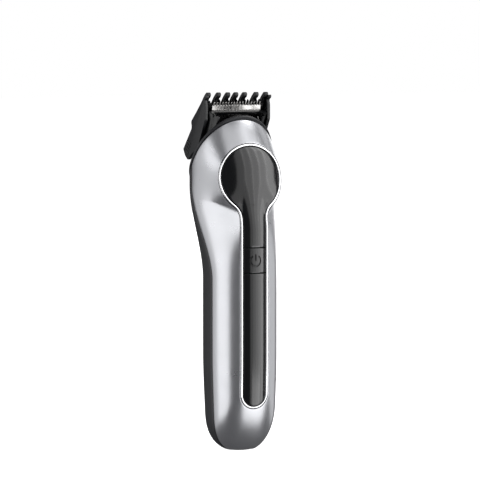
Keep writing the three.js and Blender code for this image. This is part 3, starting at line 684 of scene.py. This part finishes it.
def silver_cover():
    """The silver front: a smooth skin between the parting line and the insert, with rolled edges."""
    half = stations()
    loop = half + list(reversed(half[1:-1]))
    curves = mirrored([cover_curve(*station) for station in half])
    edge = [curve[0] for curve in curves]
    skin = []
    for (stretch, share), curve in zip(loop, curves):
        lean = math.cos(share * math.pi / 2) if stretch == "crown" else 0.0
        roll = mix(cover_roll, 0.5 * cover_roll, min(1, 2 * lean))
        skin.append(resampled(curve, roll, edge_roll, 30))
    sections = []
    count = len(loop)
    for i, row in enumerate(skin):
        inward = inward_at_edge(edge, i, loop[i][0] == "crown")
        reach = (row[0] - edge[i]).length
        lip = round_corner(edge[i] + inward * reach, edge[i], row[0], 6)
        end = curves[i][-1]
        back = Vector((0, edge_roll, 0))
        turn = round_corner(row[-1], end, end + back, 4)
        inner = []
        for j in range(len(row) - 4, 3, -4):
            along = skin[(i + 1) % count][j] - skin[i - 1][j]
            across = row[j + 1] - row[j - 1]
            normal = along.cross(across).normalized()
            middle = Vector((0, parting_y(min(row[j].z, arch_base)), row[j].z))
            if normal.dot(middle - row[j]) < 0:
                normal.negate()
            inner.append(row[j] + normal * wall)
        inner.append(edge[i] + inward * wall)
        sections.append(lip + row[1:-1] + turn + [end + Vector((0, wall, 0))] + inner)
    piece = mesh_object("silver_cover", loft(sections, closed=True), CASING)
    carve(piece, [plug_tool(), foot_tool()], CASING)
    return present(piece, silver, "handle", ["front_cover"])


plug_half_width = 5.6
plug_half_depth = 4.4
plug_thickness = 3.4


def ellipse(grow):
    return [
        ((plug_half_width + grow) * math.cos(a), plug_back + (plug_half_depth + grow) * math.sin(a))
        for a in spread(0, math.tau, 72)[:-1]
    ]


def plug_tool():
    return prism(ellipse(seam), -3, plug_thickness + 3, "z")


def foot_tool():
    """What lies below the flat end."""
    return prism(box_outline(-20, 20, -20, 20), -5, seam, "z")


screw_bore = 2.4
case_screws = [f"housing_screw_{k}" for k in (1, 2, 3, 4)]


def rear_point(z, theta, inset=0.0):
    """A point of the rear housing: theta runs from the left parting line round the back."""
    power = mix(rear_squareness, head_squareness, neck(z))
    c, s = math.cos(theta), math.sin(theta)
    size = (abs(c) ** power + abs(s) ** power) ** (-1 / power)
    across = (half_width(z) - inset) * end_share(z, inset)
    deep = (rear_depth(z) - inset) * end_share(z, inset)
    return Vector((across * c * size, parting_y(z) + deep * s * size, z))


def rear_top(theta, inset=0.0):
    """Height where the housing's side at this angle meets the head plane."""
    low, high = 110.0, arch_base + 1
    for _ in range(40):
        middle = (low + high) / 2
        inside = rear_point(middle, theta, inset).y < head_plane_y(middle)
        low, high = (middle, high) if inside else (low, middle)
    return low


def rear_housing():
    """The black rear shell, cut off along the head plane, with a rolled edge at the seam."""
    angles = spread(0.02, math.pi - 0.02, 96)
    low = -end_dip + 0.02
    shares = [0.17 * (1 - math.cos(s * math.pi / 2)) for s in spread(0, 1, 26)]
    shares += spread(0.17, 1, 90)[1:]
    tops = [rear_top(a) for a in angles]
    inner_tops = [rear_top(a, wall) for a in angles]
    sections = []
    for share in shares:
        outer = [rear_point(mix(low, top, share), a) for a, top in zip(angles, tops)]
        inner = [
            rear_point(mix(low + wall, top, share), a, wall) for a, top in zip(angles, inner_tops)
        ]
        row = []
        for first, second in ((0, 4), (-1, -5)):
            corner = outer[first].copy()
            corner.y = parting_y(corner.z) + seam
            inwards = Vector((-housing_roll if corner.x > 0 else housing_roll, 0, 0))
            reach = min(1.0, abs(corner.x) / 6)
            up = outer[second]
            lip = round_corner(corner + inwards * reach, corner, up, 6)
            row.append(lip)
        outer = row[0] + outer[5:-5] + list(reversed(row[1]))
        inner[0].y = max(inner[0].y, parting_y(inner[0].z) + seam)
        inner[-1].y = max(inner[-1].y, parting_y(inner[-1].z) + seam)
        sections.append(outer + list(reversed(inner)))
    piece = mesh_object("rear_shell", loft(sections), CASING)
    bores = []
    for name in case_screws:
        box_low, box_high = [Vector(corner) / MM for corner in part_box(name)]
        centre = (box_low + box_high) / 2
        depth = box_high.y + plug_back
        bores.append(prism(circle(screw_bore, centre.x, centre.z, 40), depth - 1.4, depth + 12, "y"))
    carve(piece, [plug_tool(), foot_tool(), *bores], CASING)
    return present(piece, housing_black, "handle", ["rear_housing"])


def end_plug():
    """The oval end plug with its two recessed charging contacts."""
    rings = []
    for grow, z in [(0, plug_thickness), (0, 0.35), (-0.1, 0.12), (-0.35, 0)]:
        rings.append([(x, y, z) for x, y in ellipse(grow)])
    piece = mesh_object("end_plug", loft(rings), CASING)
    recesses = []
    for side in ("left", "right"):
        centre = sum((Vector(c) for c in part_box(f"charge_contact_{side}")), Vector()) / 2 / MM
        recesses.append(prism(circle(1.5, centre.x, centre.y + plug_back), -1, 1.5, "z"))
    carve(piece, recesses, CASING)
    return present(piece, housing_black, "handle", ["base_plug"])


def contact_pin(side):
    """A spring-loaded charging pin with a domed end."""
    name = f"charge_contact_{side}"
    low, high = [Vector(corner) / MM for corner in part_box(name)]
    radius, centre = (high.x - low.x) / 2, (low + high) / 2
    rings = []
    for share in spread(0, 1, 8):
        a = share * math.pi / 2
        z = low.z + 0.35 * (1 - math.sin(a))
        width = max(0.02, radius * math.cos(math.pi / 2 - a))
        rings.append([(x, y, z) for x, y in circle(width, centre.x, centre.y)])
    rings.append([(x, y, high.z) for x, y in circle(radius, centre.x, centre.y)])
    piece = mesh_object(f"contact_pin_{side}", loft(rings), Matrix.Scale(MM, 4))
    return present(piece, brass, "handle", [name])


def screw_shape(radius, head_radius, under, over, end):
    """A pan-head screw along +Y: head between under and over, shank back to end."""
    crown = 0.25 * (over - under)
    profile = [(0.02, end), (radius * 0.6, end), (radius, end + 0.6), (radius, under)]
    profile += [(head_radius, under), (head_radius, over - 2.2 * crown)]
    for share in spread(0, 1, 6)[1:]:
        a = share * math.pi / 2
        profile.append((mix(head_radius, 0.02, 1 - math.cos(a)), over - 2.2 * crown * (1 - math.sin(a))))
    return loft([[(r * c, y, r * s) for c, s in circle(1.0)] for r, y in profile])


def cross_tools(centre, over, reach, depth):
    """The cross recess of a screw head."""
    slots = []
    for x, z in ((reach, 0.28), (0.28, reach)):
        outline = box_outline(centre.x - x, centre.x + x, centre.z - z, centre.z + z)
        slots.append(prism(outline, over - depth, over + 1, "y"))
    return slots


def case_screw(name, index):
    low, high = [Vector(corner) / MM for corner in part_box(name)]
    centre = (low + high) / 2
    head_radius = (high.x - low.x) / 2
    points, faces = screw_shape(1.1, head_radius, high.y - 1.1, high.y, low.y)
    moved = [(x + centre.x, y, z + centre.z) for x, y, z in points]
    piece = mesh_object(f"case_screw_{index}", (moved, faces), Matrix.Scale(MM, 4))
    carve(piece, cross_tools(centre, high.y, 1.25, 0.7), Matrix.Scale(MM, 4))
    return present(piece, zinc, "handle", [name])


# ---------------------------------------------------------------- insert pieces
def chrome_ring():
    """The bright frame round the insert, with a rounded face."""
    sections = []
    for station in stations():
        x_out, z_out, _ = outline_point(*station, 0)
        x_in, z_in, _ = outline_point(*station, trim_width)
        face = edge_depth(z_out) - trim_proud
        row = []
        for share in spread(0, 1, 10):
            a = share * math.pi
            side = 0.5 - 0.5 * math.cos(a)
            drop = 0.45 * (1 - math.sin(a) ** 0.7)
            row.append(Vector((mix(x_out, x_in, side), face + drop, mix(z_out, z_in, side))))
        row.append(Vector((x_in, face + trim_depth, z_in)))
        row.append(Vector((x_out, face + trim_depth, z_out)))
        sections.append(row)
    piece = mesh_object("chrome_ring", loft(mirrored(sections), closed=True), CASING)
    return present(piece, chrome, "handle", ["trim_bezel"], sharp=60)


def panel_face(x, z):
    """Outer face of the black insert, crowned across the strip and over the disc."""
    on_strip = max(0.0, 1 - (x / (strip_half_width - panel_offset)) ** 2)
    radius = disc_radius - panel_offset
    on_disc = 1 - (x**2 + max(0.0, z - disc_height) ** 2) / radius**2
    on_disc = max(0.0, on_disc - min(1.0, (min(0.0, z - disc_height) / 28) ** 2))
    t = smooth((z - (neck_fillet_z - 4)) / (disc_height - neck_fillet_z + 4))
    return edge_depth(z) - mix(strip_crown * on_strip, disc_crown * on_disc, t)


def panel_rows(rows, cuts):
    """Rows across the insert: from the left edge over the middle line to the right edge."""
    offsets = [0, 0.04, 0.1, 0.19, edge_roll]
    sections = []
    for station in rows:
        half = []
        x, z, spine = outline_point(*station, panel_offset + edge_roll)
        places = [(outline_point(*station, panel_offset + o)[:2], o) for o in offsets]
        for t in spread(0, 1, 14)[1:]:
            places.append(((mix(x, 0, t), mix(z, spine, t)), edge_roll))
        for (px, pz), inset in places:
            near = min([inset] + [abs(pz - cut) for cut in cuts])
            drop = edge_roll - math.sqrt(max(0.0, edge_roll**2 - (edge_roll - near) ** 2))
            half.append(Vector((px, panel_face(px, pz) + drop, pz)))
        flip = Vector((-1, 1, 1))
        row = half + [p * flip for p in reversed(half[:-1])]
        back = [Vector((p.x, p.y + panel_thickness, p.z)) for p in (row[-1], row[0])]
        sections.append(row + back)
    return sections


def rolled_heights(low, high, roll_low, roll_high, steps):
    """Heights along the strip that are close together where an end is rolled."""
    close = [0, 0.03, 0.08, 0.17, edge_roll]
    heights = [low + c for c in close] if roll_low else [low]
    top = [high - c for c in reversed(close)] if roll_high else [high]
    inside = spread(heights[-1], top[0], steps)
    return heights[:-1] + inside + top[1:]


def upper_insert():
    rows = [("crown", s) for s in spread(0, 1, 36)]
    rows += [("flank", s) for s in spread(0, 1, 16)[1:]]
    rows += [("fillet", s) for s in spread(0, 1, 12)[1:]]
    cut = button_high + seam
    heights = rolled_heights(cut, neck_fillet_z, True, False, 8)
    rows += [("strip", z) for z in reversed(heights[:-1])]
    piece = mesh_object("upper_insert", loft(panel_rows(rows, [cut])), CASING)
    return present(piece, gloss_black, "handle", ["upper_panel"])


def lower_insert():
    cut = button_low - seam
    heights = rolled_heights(strip_end_centre, cut, False, True, 34)
    rows = [("strip", z) for z in reversed(heights)]
    rows += [("end", s) for s in spread(0, 1, 20)[1:]]
    piece = mesh_object("lower_insert", loft(panel_rows(rows, [cut])), CASING)
    return present(piece, gloss_black, "handle", ["lower_panel"])


def power_mark():
    """The tools that engrave the power mark: a ring that is open at the top, and a bar."""
    def groove(path):
        rings = []
        for i, (x, z) in enumerate(path):
            ahead = Vector(path[min(i + 1, len(path) - 1)]) - Vector(path[max(i - 1, 0)])
            side = Vector((ahead.y, 0, -ahead.x)).normalized()
            middle = Vector((x, panel_face(x, z), z))
            end = mark_stroke * (0.55 if i in (0, len(path) - 1) else 1.0)
            rings.append(
                [middle + side * (end * c) + Vector((0, 1.2 * end * s, 0)) for c, s in circle(1.0, steps=16)]
            )
        return loft(rings)

    opening = math.radians(32)
    ring = []
    for a in spread(opening, math.tau - opening, 60):
        ring.append((mark_radius * math.sin(a), button_height + mark_radius * math.cos(a)))
    bar = [(0, button_height + z) for z in spread(-0.2, mark_radius + 0.5, 10)]
    return [groove(ring), groove(bar)]


def power_button():
    rows = [("strip", z) for z in rolled_heights(button_low, button_high, True, True, 24)]
    cuts = [button_low, button_high]
    piece = mesh_object("button_cap", loft(panel_rows(rows, cuts)), CASING)
    carve(piece, power_mark(), CASING)
    stem_end = Vector(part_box("power_button")[1]).y / MM + plug_back
    stem_start = panel_face(0, button_height) + 1
    stem = prism(circle(stem_radius, 0, button_height), stem_start, stem_end, "y")
    carve(piece, [stem], CASING, "UNION")
    return present(piece, gloss_black, "button", ["power_button"])


# ---------------------------------------------------------------- blade head
plane_rise = arch_rise / math.cos(head_tilt)
plane_drop = head_rear_depth / math.sin(head_tilt) - 0.2


def head_frame():
    """The black rim that closes the casing and carries the blade head."""
    def ring(inset, n, skirt=0.0):
        upper = plane_rise + rim_overhang - inset - (skirt and skirt + rim_overhang)
        lower = plane_drop + rim_side - inset - (skirt and skirt - 3 + rim_side)
        half = head_half_width + rim_side - inset - (skirt and rim_side)
        return [(x, n, s) for x, s in oval(half, upper, lower, -plane_rise)]

    inner = skirt_inset + 1.6
    roll = 0.55
    rings = [ring(19, seam), ring(inner, seam, 6), ring(inner, -2.4, 6), ring(skirt_inset, -2.4, 6)]
    rings += [ring(skirt_inset, seam, 6), ring(0.25, seam), ring(0, seam + 0.25)]
    for share in spread(0, 1, 6):
        a = share * math.pi / 2
        rings.append(ring(roll * (1 - math.cos(a)), frame_top - roll * (1 - math.sin(a))))
    rings.append(ring(19, frame_top))
    piece = mesh_object("head_rim", loft(rings), HEAD)
    window = rounded(box_outline(-4.2, 4.2, -23.5, -8.5), 2.0)
    carve(piece, [prism(window, -4, frame_top + 1, "y")], HEAD)
    return present(piece, housing_black, "handle", ["head_frame"])


def blade_carrier():
    """The moulded carrier that the blades sit on: dovetail sides, a pocket and a hooded mouth."""
    flare = carrier_top - 2.2
    half, base = carrier_half_width, carrier_base_half_width
    section = [(-base, carrier_bottom), (base, carrier_bottom), (half, flare), (half, carrier_top)]
    section += [(-half, carrier_top), (-half, flare)]
    piece = mesh_object("blade_block", prism(section, carrier_low, 0, "z"), HEAD)
    inner = half - carrier_rail
    mouth = 13.5
    roof = carrier_top - 1.5
    window = rounded(box_outline(-inner, inner, -20.5, -1.6), 1.5)
    tools = [
        prism(window, carrier_bottom - 1, carrier_top + 1, "y"),
        prism(rounded(box_outline(-inner, inner, carrier_bottom - 3, roof), 1.1), -3, 2, "z"),
        prism(rounded(box_outline(-mouth, mouth, 2.9, roof), 1.1), -6.5, 2, "z"),
    ]
    for side in (-1, 1):
        hole = circle(1.4, side * blade_screw_out, blade_screw_low)
        tools.append(prism(hole, carrier_top - 4, carrier_top + 1, "y"))
        middle = side * (half - 1.5)
        groove = box_outline(middle - 0.25, middle + 0.25, flare - 3.4, flare - 0.6)
        tools.append(prism(groove, -1.2, 1, "z"))
    carve(piece, tools, HEAD)
    soften(piece, 0.3)
    return present(piece, slippery_black, "blade_head", ["blade_carrier"])


def toothed(half, low, band_top, tooth_top, share):
    """Outline of a blade whose teeth have rounded tips and round roots."""
    pitch = 2 * cutter_half_width / tooth_count
    points = [(-half, low), (half, low), (half, band_top)]
    for k in reversed(range(tooth_count)):
        centre = (k - (tooth_count - 1) / 2) * pitch
        root = pitch * share / 2
        tip = 0.55 * root
        points.append((centre + root, band_top))
        for a in spread(0, math.pi, 5):
            points.append((centre + tip * math.cos(a), tooth_top - tip * (1 - math.sin(a))))
        points.append((centre - root, band_top))
    return points + [(-half, band_top)]


def moving_blade():
    outline = toothed(cutter_half_width, cutter_low, cutter_band_top, cutter_tooth_top, 0.6)
    shape = prism(outline, cutter_bottom, cutter_bottom + blade_thickness, "y")
    piece = mesh_object("moving_blade", shape, HEAD)
    # the underside is ground thinner towards the teeth
    n, top = cutter_bottom, cutter_band_top
    ground = [(n - 1, -1.0), (n, -1.0), (n + 0.9, top - 0.2), (n + 0.9, cutter_tooth_top + 1)]
    ground.append((n - 1, cutter_tooth_top + 1))
    carve(piece, [prism(ground, -cutter_half_width - 1, cutter_half_width + 1, "x")], HEAD)
    soften(piece, 0.1, 1, 50)
    return present(piece, bright_steel, "cutter", ["cutter_blade"])


def fixed_blade():
    half, band_top = carrier_half_width - 0.6, cutter_band_top + 0.4
    outline = toothed(half, carrier_low + 1, band_top, fixed_tooth_top, 0.55)
    piece = mesh_object("fixed_blade_plate", prism(outline, fixed_bottom, fixed_top, "y"), HEAD)
    centres = [(side * blade_screw_out, blade_screw_low) for side in (-1, 1)]
    lands = [prism(circle(2.6, x, s), carrier_top + seam, fixed_bottom + 0.5, "y") for x, s in centres]
    carve(piece, lands, HEAD, "UNION")
    carve(piece, [prism(circle(1.4, x, s), carrier_top, fixed_top + 1, "y") for x, s in centres], HEAD)
    soften(piece, 0.1, 1, 50)
    return present(piece, black_steel, "blade_head", ["fixed_blade"])


def blade_screw(side):
    sign = -1 if side == "left" else 1
    over = fixed_top + 1.4
    points, faces = screw_shape(1.1, 2.3, fixed_top + seam, over, carrier_top - 3.5)
    x_place, s_place = sign * blade_screw_out, blade_screw_low
    moved = [(x + x_place, n, s + s_place) for x, n, s in points]
    piece = mesh_object(f"blade_screw_head_{side}", (moved, faces), HEAD)
    carve(piece, cross_tools(Vector((x_place, 0, s_place)), over, 1.3, 0.6), HEAD)
    return present(piece, zinc, "blade_head", [f"blade_screw_{side}"])


def tension_spring():
    """The bent wire that presses the moving blade on the fixed one."""
    out = carrier_half_width - carrier_rail - 1.3
    back = -15.9
    level = (carrier_bottom + carrier_top) / 2 - 0.4
    leg = [(out + 0.3, level + 0.7, -1.9), (out + 0.8, level - 0.2, -3.4), (out + 0.9, level - 0.3, -6)]
    leg += [(out + 0.2, level, back + 3.5), (out - 2.5, level, back)]
    points = [(-x, n, s) for x, n, s in leg] + [(0, level, back)] + list(reversed(leg))
    curve = bpy.data.curves.new("spring_wire", "CURVE")
    curve.dimensions = "3D"
    curve.bevel_depth = 0.45 * MM
    curve.bevel_resolution = 4
    curve.resolution_u = 14
    curve.use_fill_caps = True
    line = curve.splines.new("BEZIER")
    line.bezier_points.add(len(points) - 1)
    for knot, p in zip(line.bezier_points, points):
        knot.co = HEAD @ Vector(p)
        knot.handle_left_type = "AUTO"
        knot.handle_right_type = "AUTO"
    source = bpy.data.objects.new("spring_wire_line", curve)
    bpy.context.scene.collection.objects.link(source)
    bpy.context.view_layer.update()
    state = bpy.context.evaluated_depsgraph_get()
    mesh = bpy.data.meshes.new_from_object(source.evaluated_get(state))
    bpy.data.objects.remove(source)
    piece = bpy.data.objects.new("spring_wire", mesh)
    bpy.context.scene.collection.objects.link(piece)
    clean(piece)
    return present(piece, wire, "blade_head", ["tension_spring"])


# ---------------------------------------------------------------- comb
def comb_profiles():
    """Side views of the comb's outer walls and of its fins, as (out, along) points."""
    f, top, low = comb_front, comb_top, carrier_low
    side = [(f - 1.4, 4.8), (f - 2.5, 6.4), (f - 2.4, 7.5), (f - 1.6, top - 0.5), (f - 0.8, 6.9)]
    side += [(f + 0.5, 4.2), (f + 1.5, 1.0), (f + 3.6, -5.2), (f + 6.2, -12.0), (f + 5.9, -13.2)]
    side += [(f + 4.5, -14.3), (f + 4.1, -15.6), (f + 7.1, low - 3.6), (f + 3.5, low - 5.4)]
    side += [(f - 0.2, low - 5.6), (f - 1.1, low - 3.8), (carrier_top + 0.9, low)]
    foot = carrier_top + seam
    side += [(foot - wall_reach, -20.5), (foot - wall_reach, -3), (foot, 3)]
    fin = [(f, top - 3.4), (f - 0.9, top - 2.6), (f - 1.2, top - 1.1), (f - 0.8, top - 0.25)]
    fin += [(f + 0.1, top), (f + 1.1, top - 0.6), (f + 2.2, 4.6), (f + 4.2, -4.2), (f + 4.4, -8), (f, -8)]
    return side, fin


def comb_fin(profile, x):
    """A fin that narrows a little towards its tip."""
    points, faces = prism(rounded(profile, 0.5, 3), x - fin_width / 2, x + fin_width / 2, "x")
    narrowed = []
    for px, n, s in points:
        share = mix(1, 0.75, clamp((s - 2.5) / (comb_top - 2.5)))
        narrowed.append((x + (px - x) * share, n, s))
    return narrowed, faces


def comb_wall_shapes(side, sign):
    """One outer wall with the flange that covers the carrier's edge and the ribs of its latch."""
    def across(low, high):
        return sorted((sign * (comb_half_width - low), sign * (comb_half_width - high)))

    shapes = [prism(rounded(side, 0.7, 3), *across(comb_wall, 0), "x")]
    flange = box_outline(comb_front + 0.1, comb_front + 1.3, -21, 3)
    shapes.append(prism(flange, *across(comb_wall + 3.0, comb_wall - 0.5), "x"))
    for k in range(4):
        level = carrier_low + 3.4 - 1.8 * k
        rib = box_outline(comb_front + 0.6, comb_front + 4.4, level - 0.4, level + 0.4)
        shapes.append(prism(rib, *across(0.6, -0.35), "x"))
    return shapes


def guide_comb():
    """The black comb: two side walls with grip ribs, seven fins and two cross bars."""
    side, fin = comb_profiles()
    parts = [comb_fin(fin, share * fin_out) for share in (-1, -0.65, -0.325, -0.045, 0.26, 0.665, 1)]
    for sign in (-1, 1):
        parts += comb_wall_shapes(side, sign)
    inside = comb_half_width - 0.5
    bars = ((1.8, 3.6, -7.8, -4.8), (3.0, 5.0, carrier_low - 2.5, carrier_low + 2.5))
    for n_low, n_high, s_low, s_high in bars:
        outline = box_outline(comb_front + n_low, comb_front + n_high, s_low, s_high)
        parts.append(prism(outline, -inside, inside, "x"))
    piece = mesh_object("guide_comb", parts[0], HEAD)
    soften(piece, 0.25, 3, 50)
    for shape in parts[1:]:
        tool = mesh_object("comb_part", shape, HEAD)
        soften(tool, 0.25, 3, 50)
        step = piece.modifiers.new("join", "BOOLEAN")
        step.operation = "UNION"
        step.solver = "MANIFOLD"
        step.object = tool
        apply_modifiers(piece)
        bpy.data.objects.remove(tool)
    return present(piece, nylon, "comb", ["comb_attachment"])


# ---------------------------------------------------------------- carried-over working parts
def dress_working_parts():
    """The parts inside the casing keep their shape and get their own finishes."""
    finishes = {
        "circuit_board": board_green,
        "switch_body": slippery_black,
        "switch_plunger": slippery_black,
        "battery_cell": sleeve,
        "battery_contact_negative": zinc,
        "battery_contact_positive": zinc,
        "motor_can": tin,
        "motor_end_cap": slippery_black,
        "motor_mount": zinc,
        "shaft_bush": brass,
        "drive_shaft": bright_steel,
        "eccentric_cam": slippery_black,
        "cutter_driver": slippery_black,
        "motor_screw_left": zinc,
        "motor_screw_right": zinc,
    }
    for name, material in finishes.items():
        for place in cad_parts[name].material_slots:
            place.material = material


# ---------------------------------------------------------------- studio
def camera():
    """A long lens in front and to the left, a little above the middle of the clipper."""
    view = bpy.data.cameras.new("camera")
    view.lens = 232.5
    view.sensor_width = 36
    eye = bpy.data.objects.new("camera", view)
    bpy.context.scene.collection.objects.link(eye)
    distance, azimuth = 1.55, math.radians(-26)
    across = Vector((math.cos(azimuth), math.sin(azimuth), 0))
    eye.location = Vector((distance * math.sin(azimuth), -distance * math.cos(azimuth), 0.219))
    aim = Vector((0, 0, 0.1055))
    for point in (eye.location, aim):
        point -= across * 0.0002
    eye.rotation_euler = (aim - eye.location).to_track_quat("-Z", "Y").to_euler()
    bpy.context.scene.camera = eye


def softbox(name, azimuth, elevation, distance, width, height, brightness, tint="#FFFFFF"):
    """A rectangular soft light, placed round the clipper in degrees from the front, aimed at its middle."""
    light = bpy.data.lights.new(name, "AREA")
    light.shape = "RECTANGLE"
    light.size = width
    light.size_y = height
    light.energy = brightness * math.pi * width * height
    light.color = linear(tint)[:3]
    lamp = bpy.data.objects.new(name, light)
    bpy.context.scene.collection.objects.link(lamp)
    a, e = math.radians(azimuth), math.radians(elevation)
    middle = Vector((0, 0, 0.1))
    toward = Vector((math.sin(a) * math.cos(e), -math.cos(a) * math.cos(e), math.sin(e)))
    lamp.location = middle + toward * distance
    lamp.rotation_euler = (-toward).to_track_quat("-Z", "Y").to_euler()
    lamp.visible_camera = False


def studio():
    """A pale floor, a soft room and large soft lights on all sides."""
    scene = bpy.context.scene
    scene.view_settings.view_transform = "Standard"
    camera()
    softbox("left", -84, 4, 1.5, 1.6, 1.9, 1.6)
    softbox("left_back", -129, 4, 1.5, 0.9, 1.9, 0.7)
    for k in range(5):
        softbox(f"front_{k}", 9 + 12 * k, 16, 1.5, 0.34, 1.8, 0.9 + 0.6 * k)
    softbox("right_side", 95, 4, 1.6, 1.2, 1.8, 0.7)
    softbox("top", 0, 80, 1.3, 1.4, 1.0, 0.9)
    softbox("top_right", 60, 50, 1.4, 1.0, 0.9, 0.6)
    softbox("rear", 150, 20, 1.7, 1.4, 1.6, 1.6)
    softbox("floor_bounce", 29, -26, 1.2, 0.8, 0.6, 2.0)

    world = bpy.data.worlds.new("room")
    world.use_nodes = True
    tree = world.node_tree
    tree.nodes.clear()
    room = add(tree, "Background", values={"Color": (0.1, 0.1, 0.105, 1), "Strength": 1.0})
    seen = add(tree, "Background", values={"Color": (1, 1, 1, 1), "Strength": 1.0})
    path = add(tree, "LightPath")
    both = add(
        tree, "MixShader",
        links={0: path.outputs["Is Camera Ray"], 1: room.outputs[0], 2: seen.outputs[0]},
    )
    add(tree, "OutputWorld", links={"Surface": both.outputs[0]})
    scene.world = world

    reach = 6.0
    mesh = bpy.data.meshes.new("floor")
    corners = [(-reach, -reach, 0), (reach, -reach, 0), (reach, reach, 0), (-reach, reach, 0)]
    mesh.from_pydata(corners, [], [(0, 1, 2, 3)])
    floor = bpy.data.objects.new("floor", mesh)
    scene.collection.objects.link(floor)
    material = bpy.data.materials.new("matt_white_paper")
    material.use_nodes = True
    tree = material.node_tree
    tree.nodes.clear()
    paper = add(tree, "BsdfDiffuse", values={"Color": (0.9, 0.9, 0.9, 1)})
    glow = add(tree, "Emission", values={"Color": (1, 1, 1, 1), "Strength": 1.0})
    total = add(tree, "AddShader", links={0: paper.outputs[0], 1: glow.outputs[0]})
    add(tree, "OutputMaterial", links={"Surface": total.outputs[0]})
    mesh.materials.append(material)
    floor.visible_glossy = False
    floor.visible_shadow = False
    floor.visible_diffuse = False


silver_cover()
rear_housing()
end_plug()
contact_pin("left")
contact_pin("right")
for number, screw in enumerate(case_screws, start=1):
    case_screw(screw, number)
chrome_ring()
upper_insert()
lower_insert()
power_button()
head_frame()
blade_carrier()
moving_blade()
fixed_blade()
blade_screw("left")
blade_screw("right")
tension_spring()
guide_comb()
dress_working_parts()
studio()
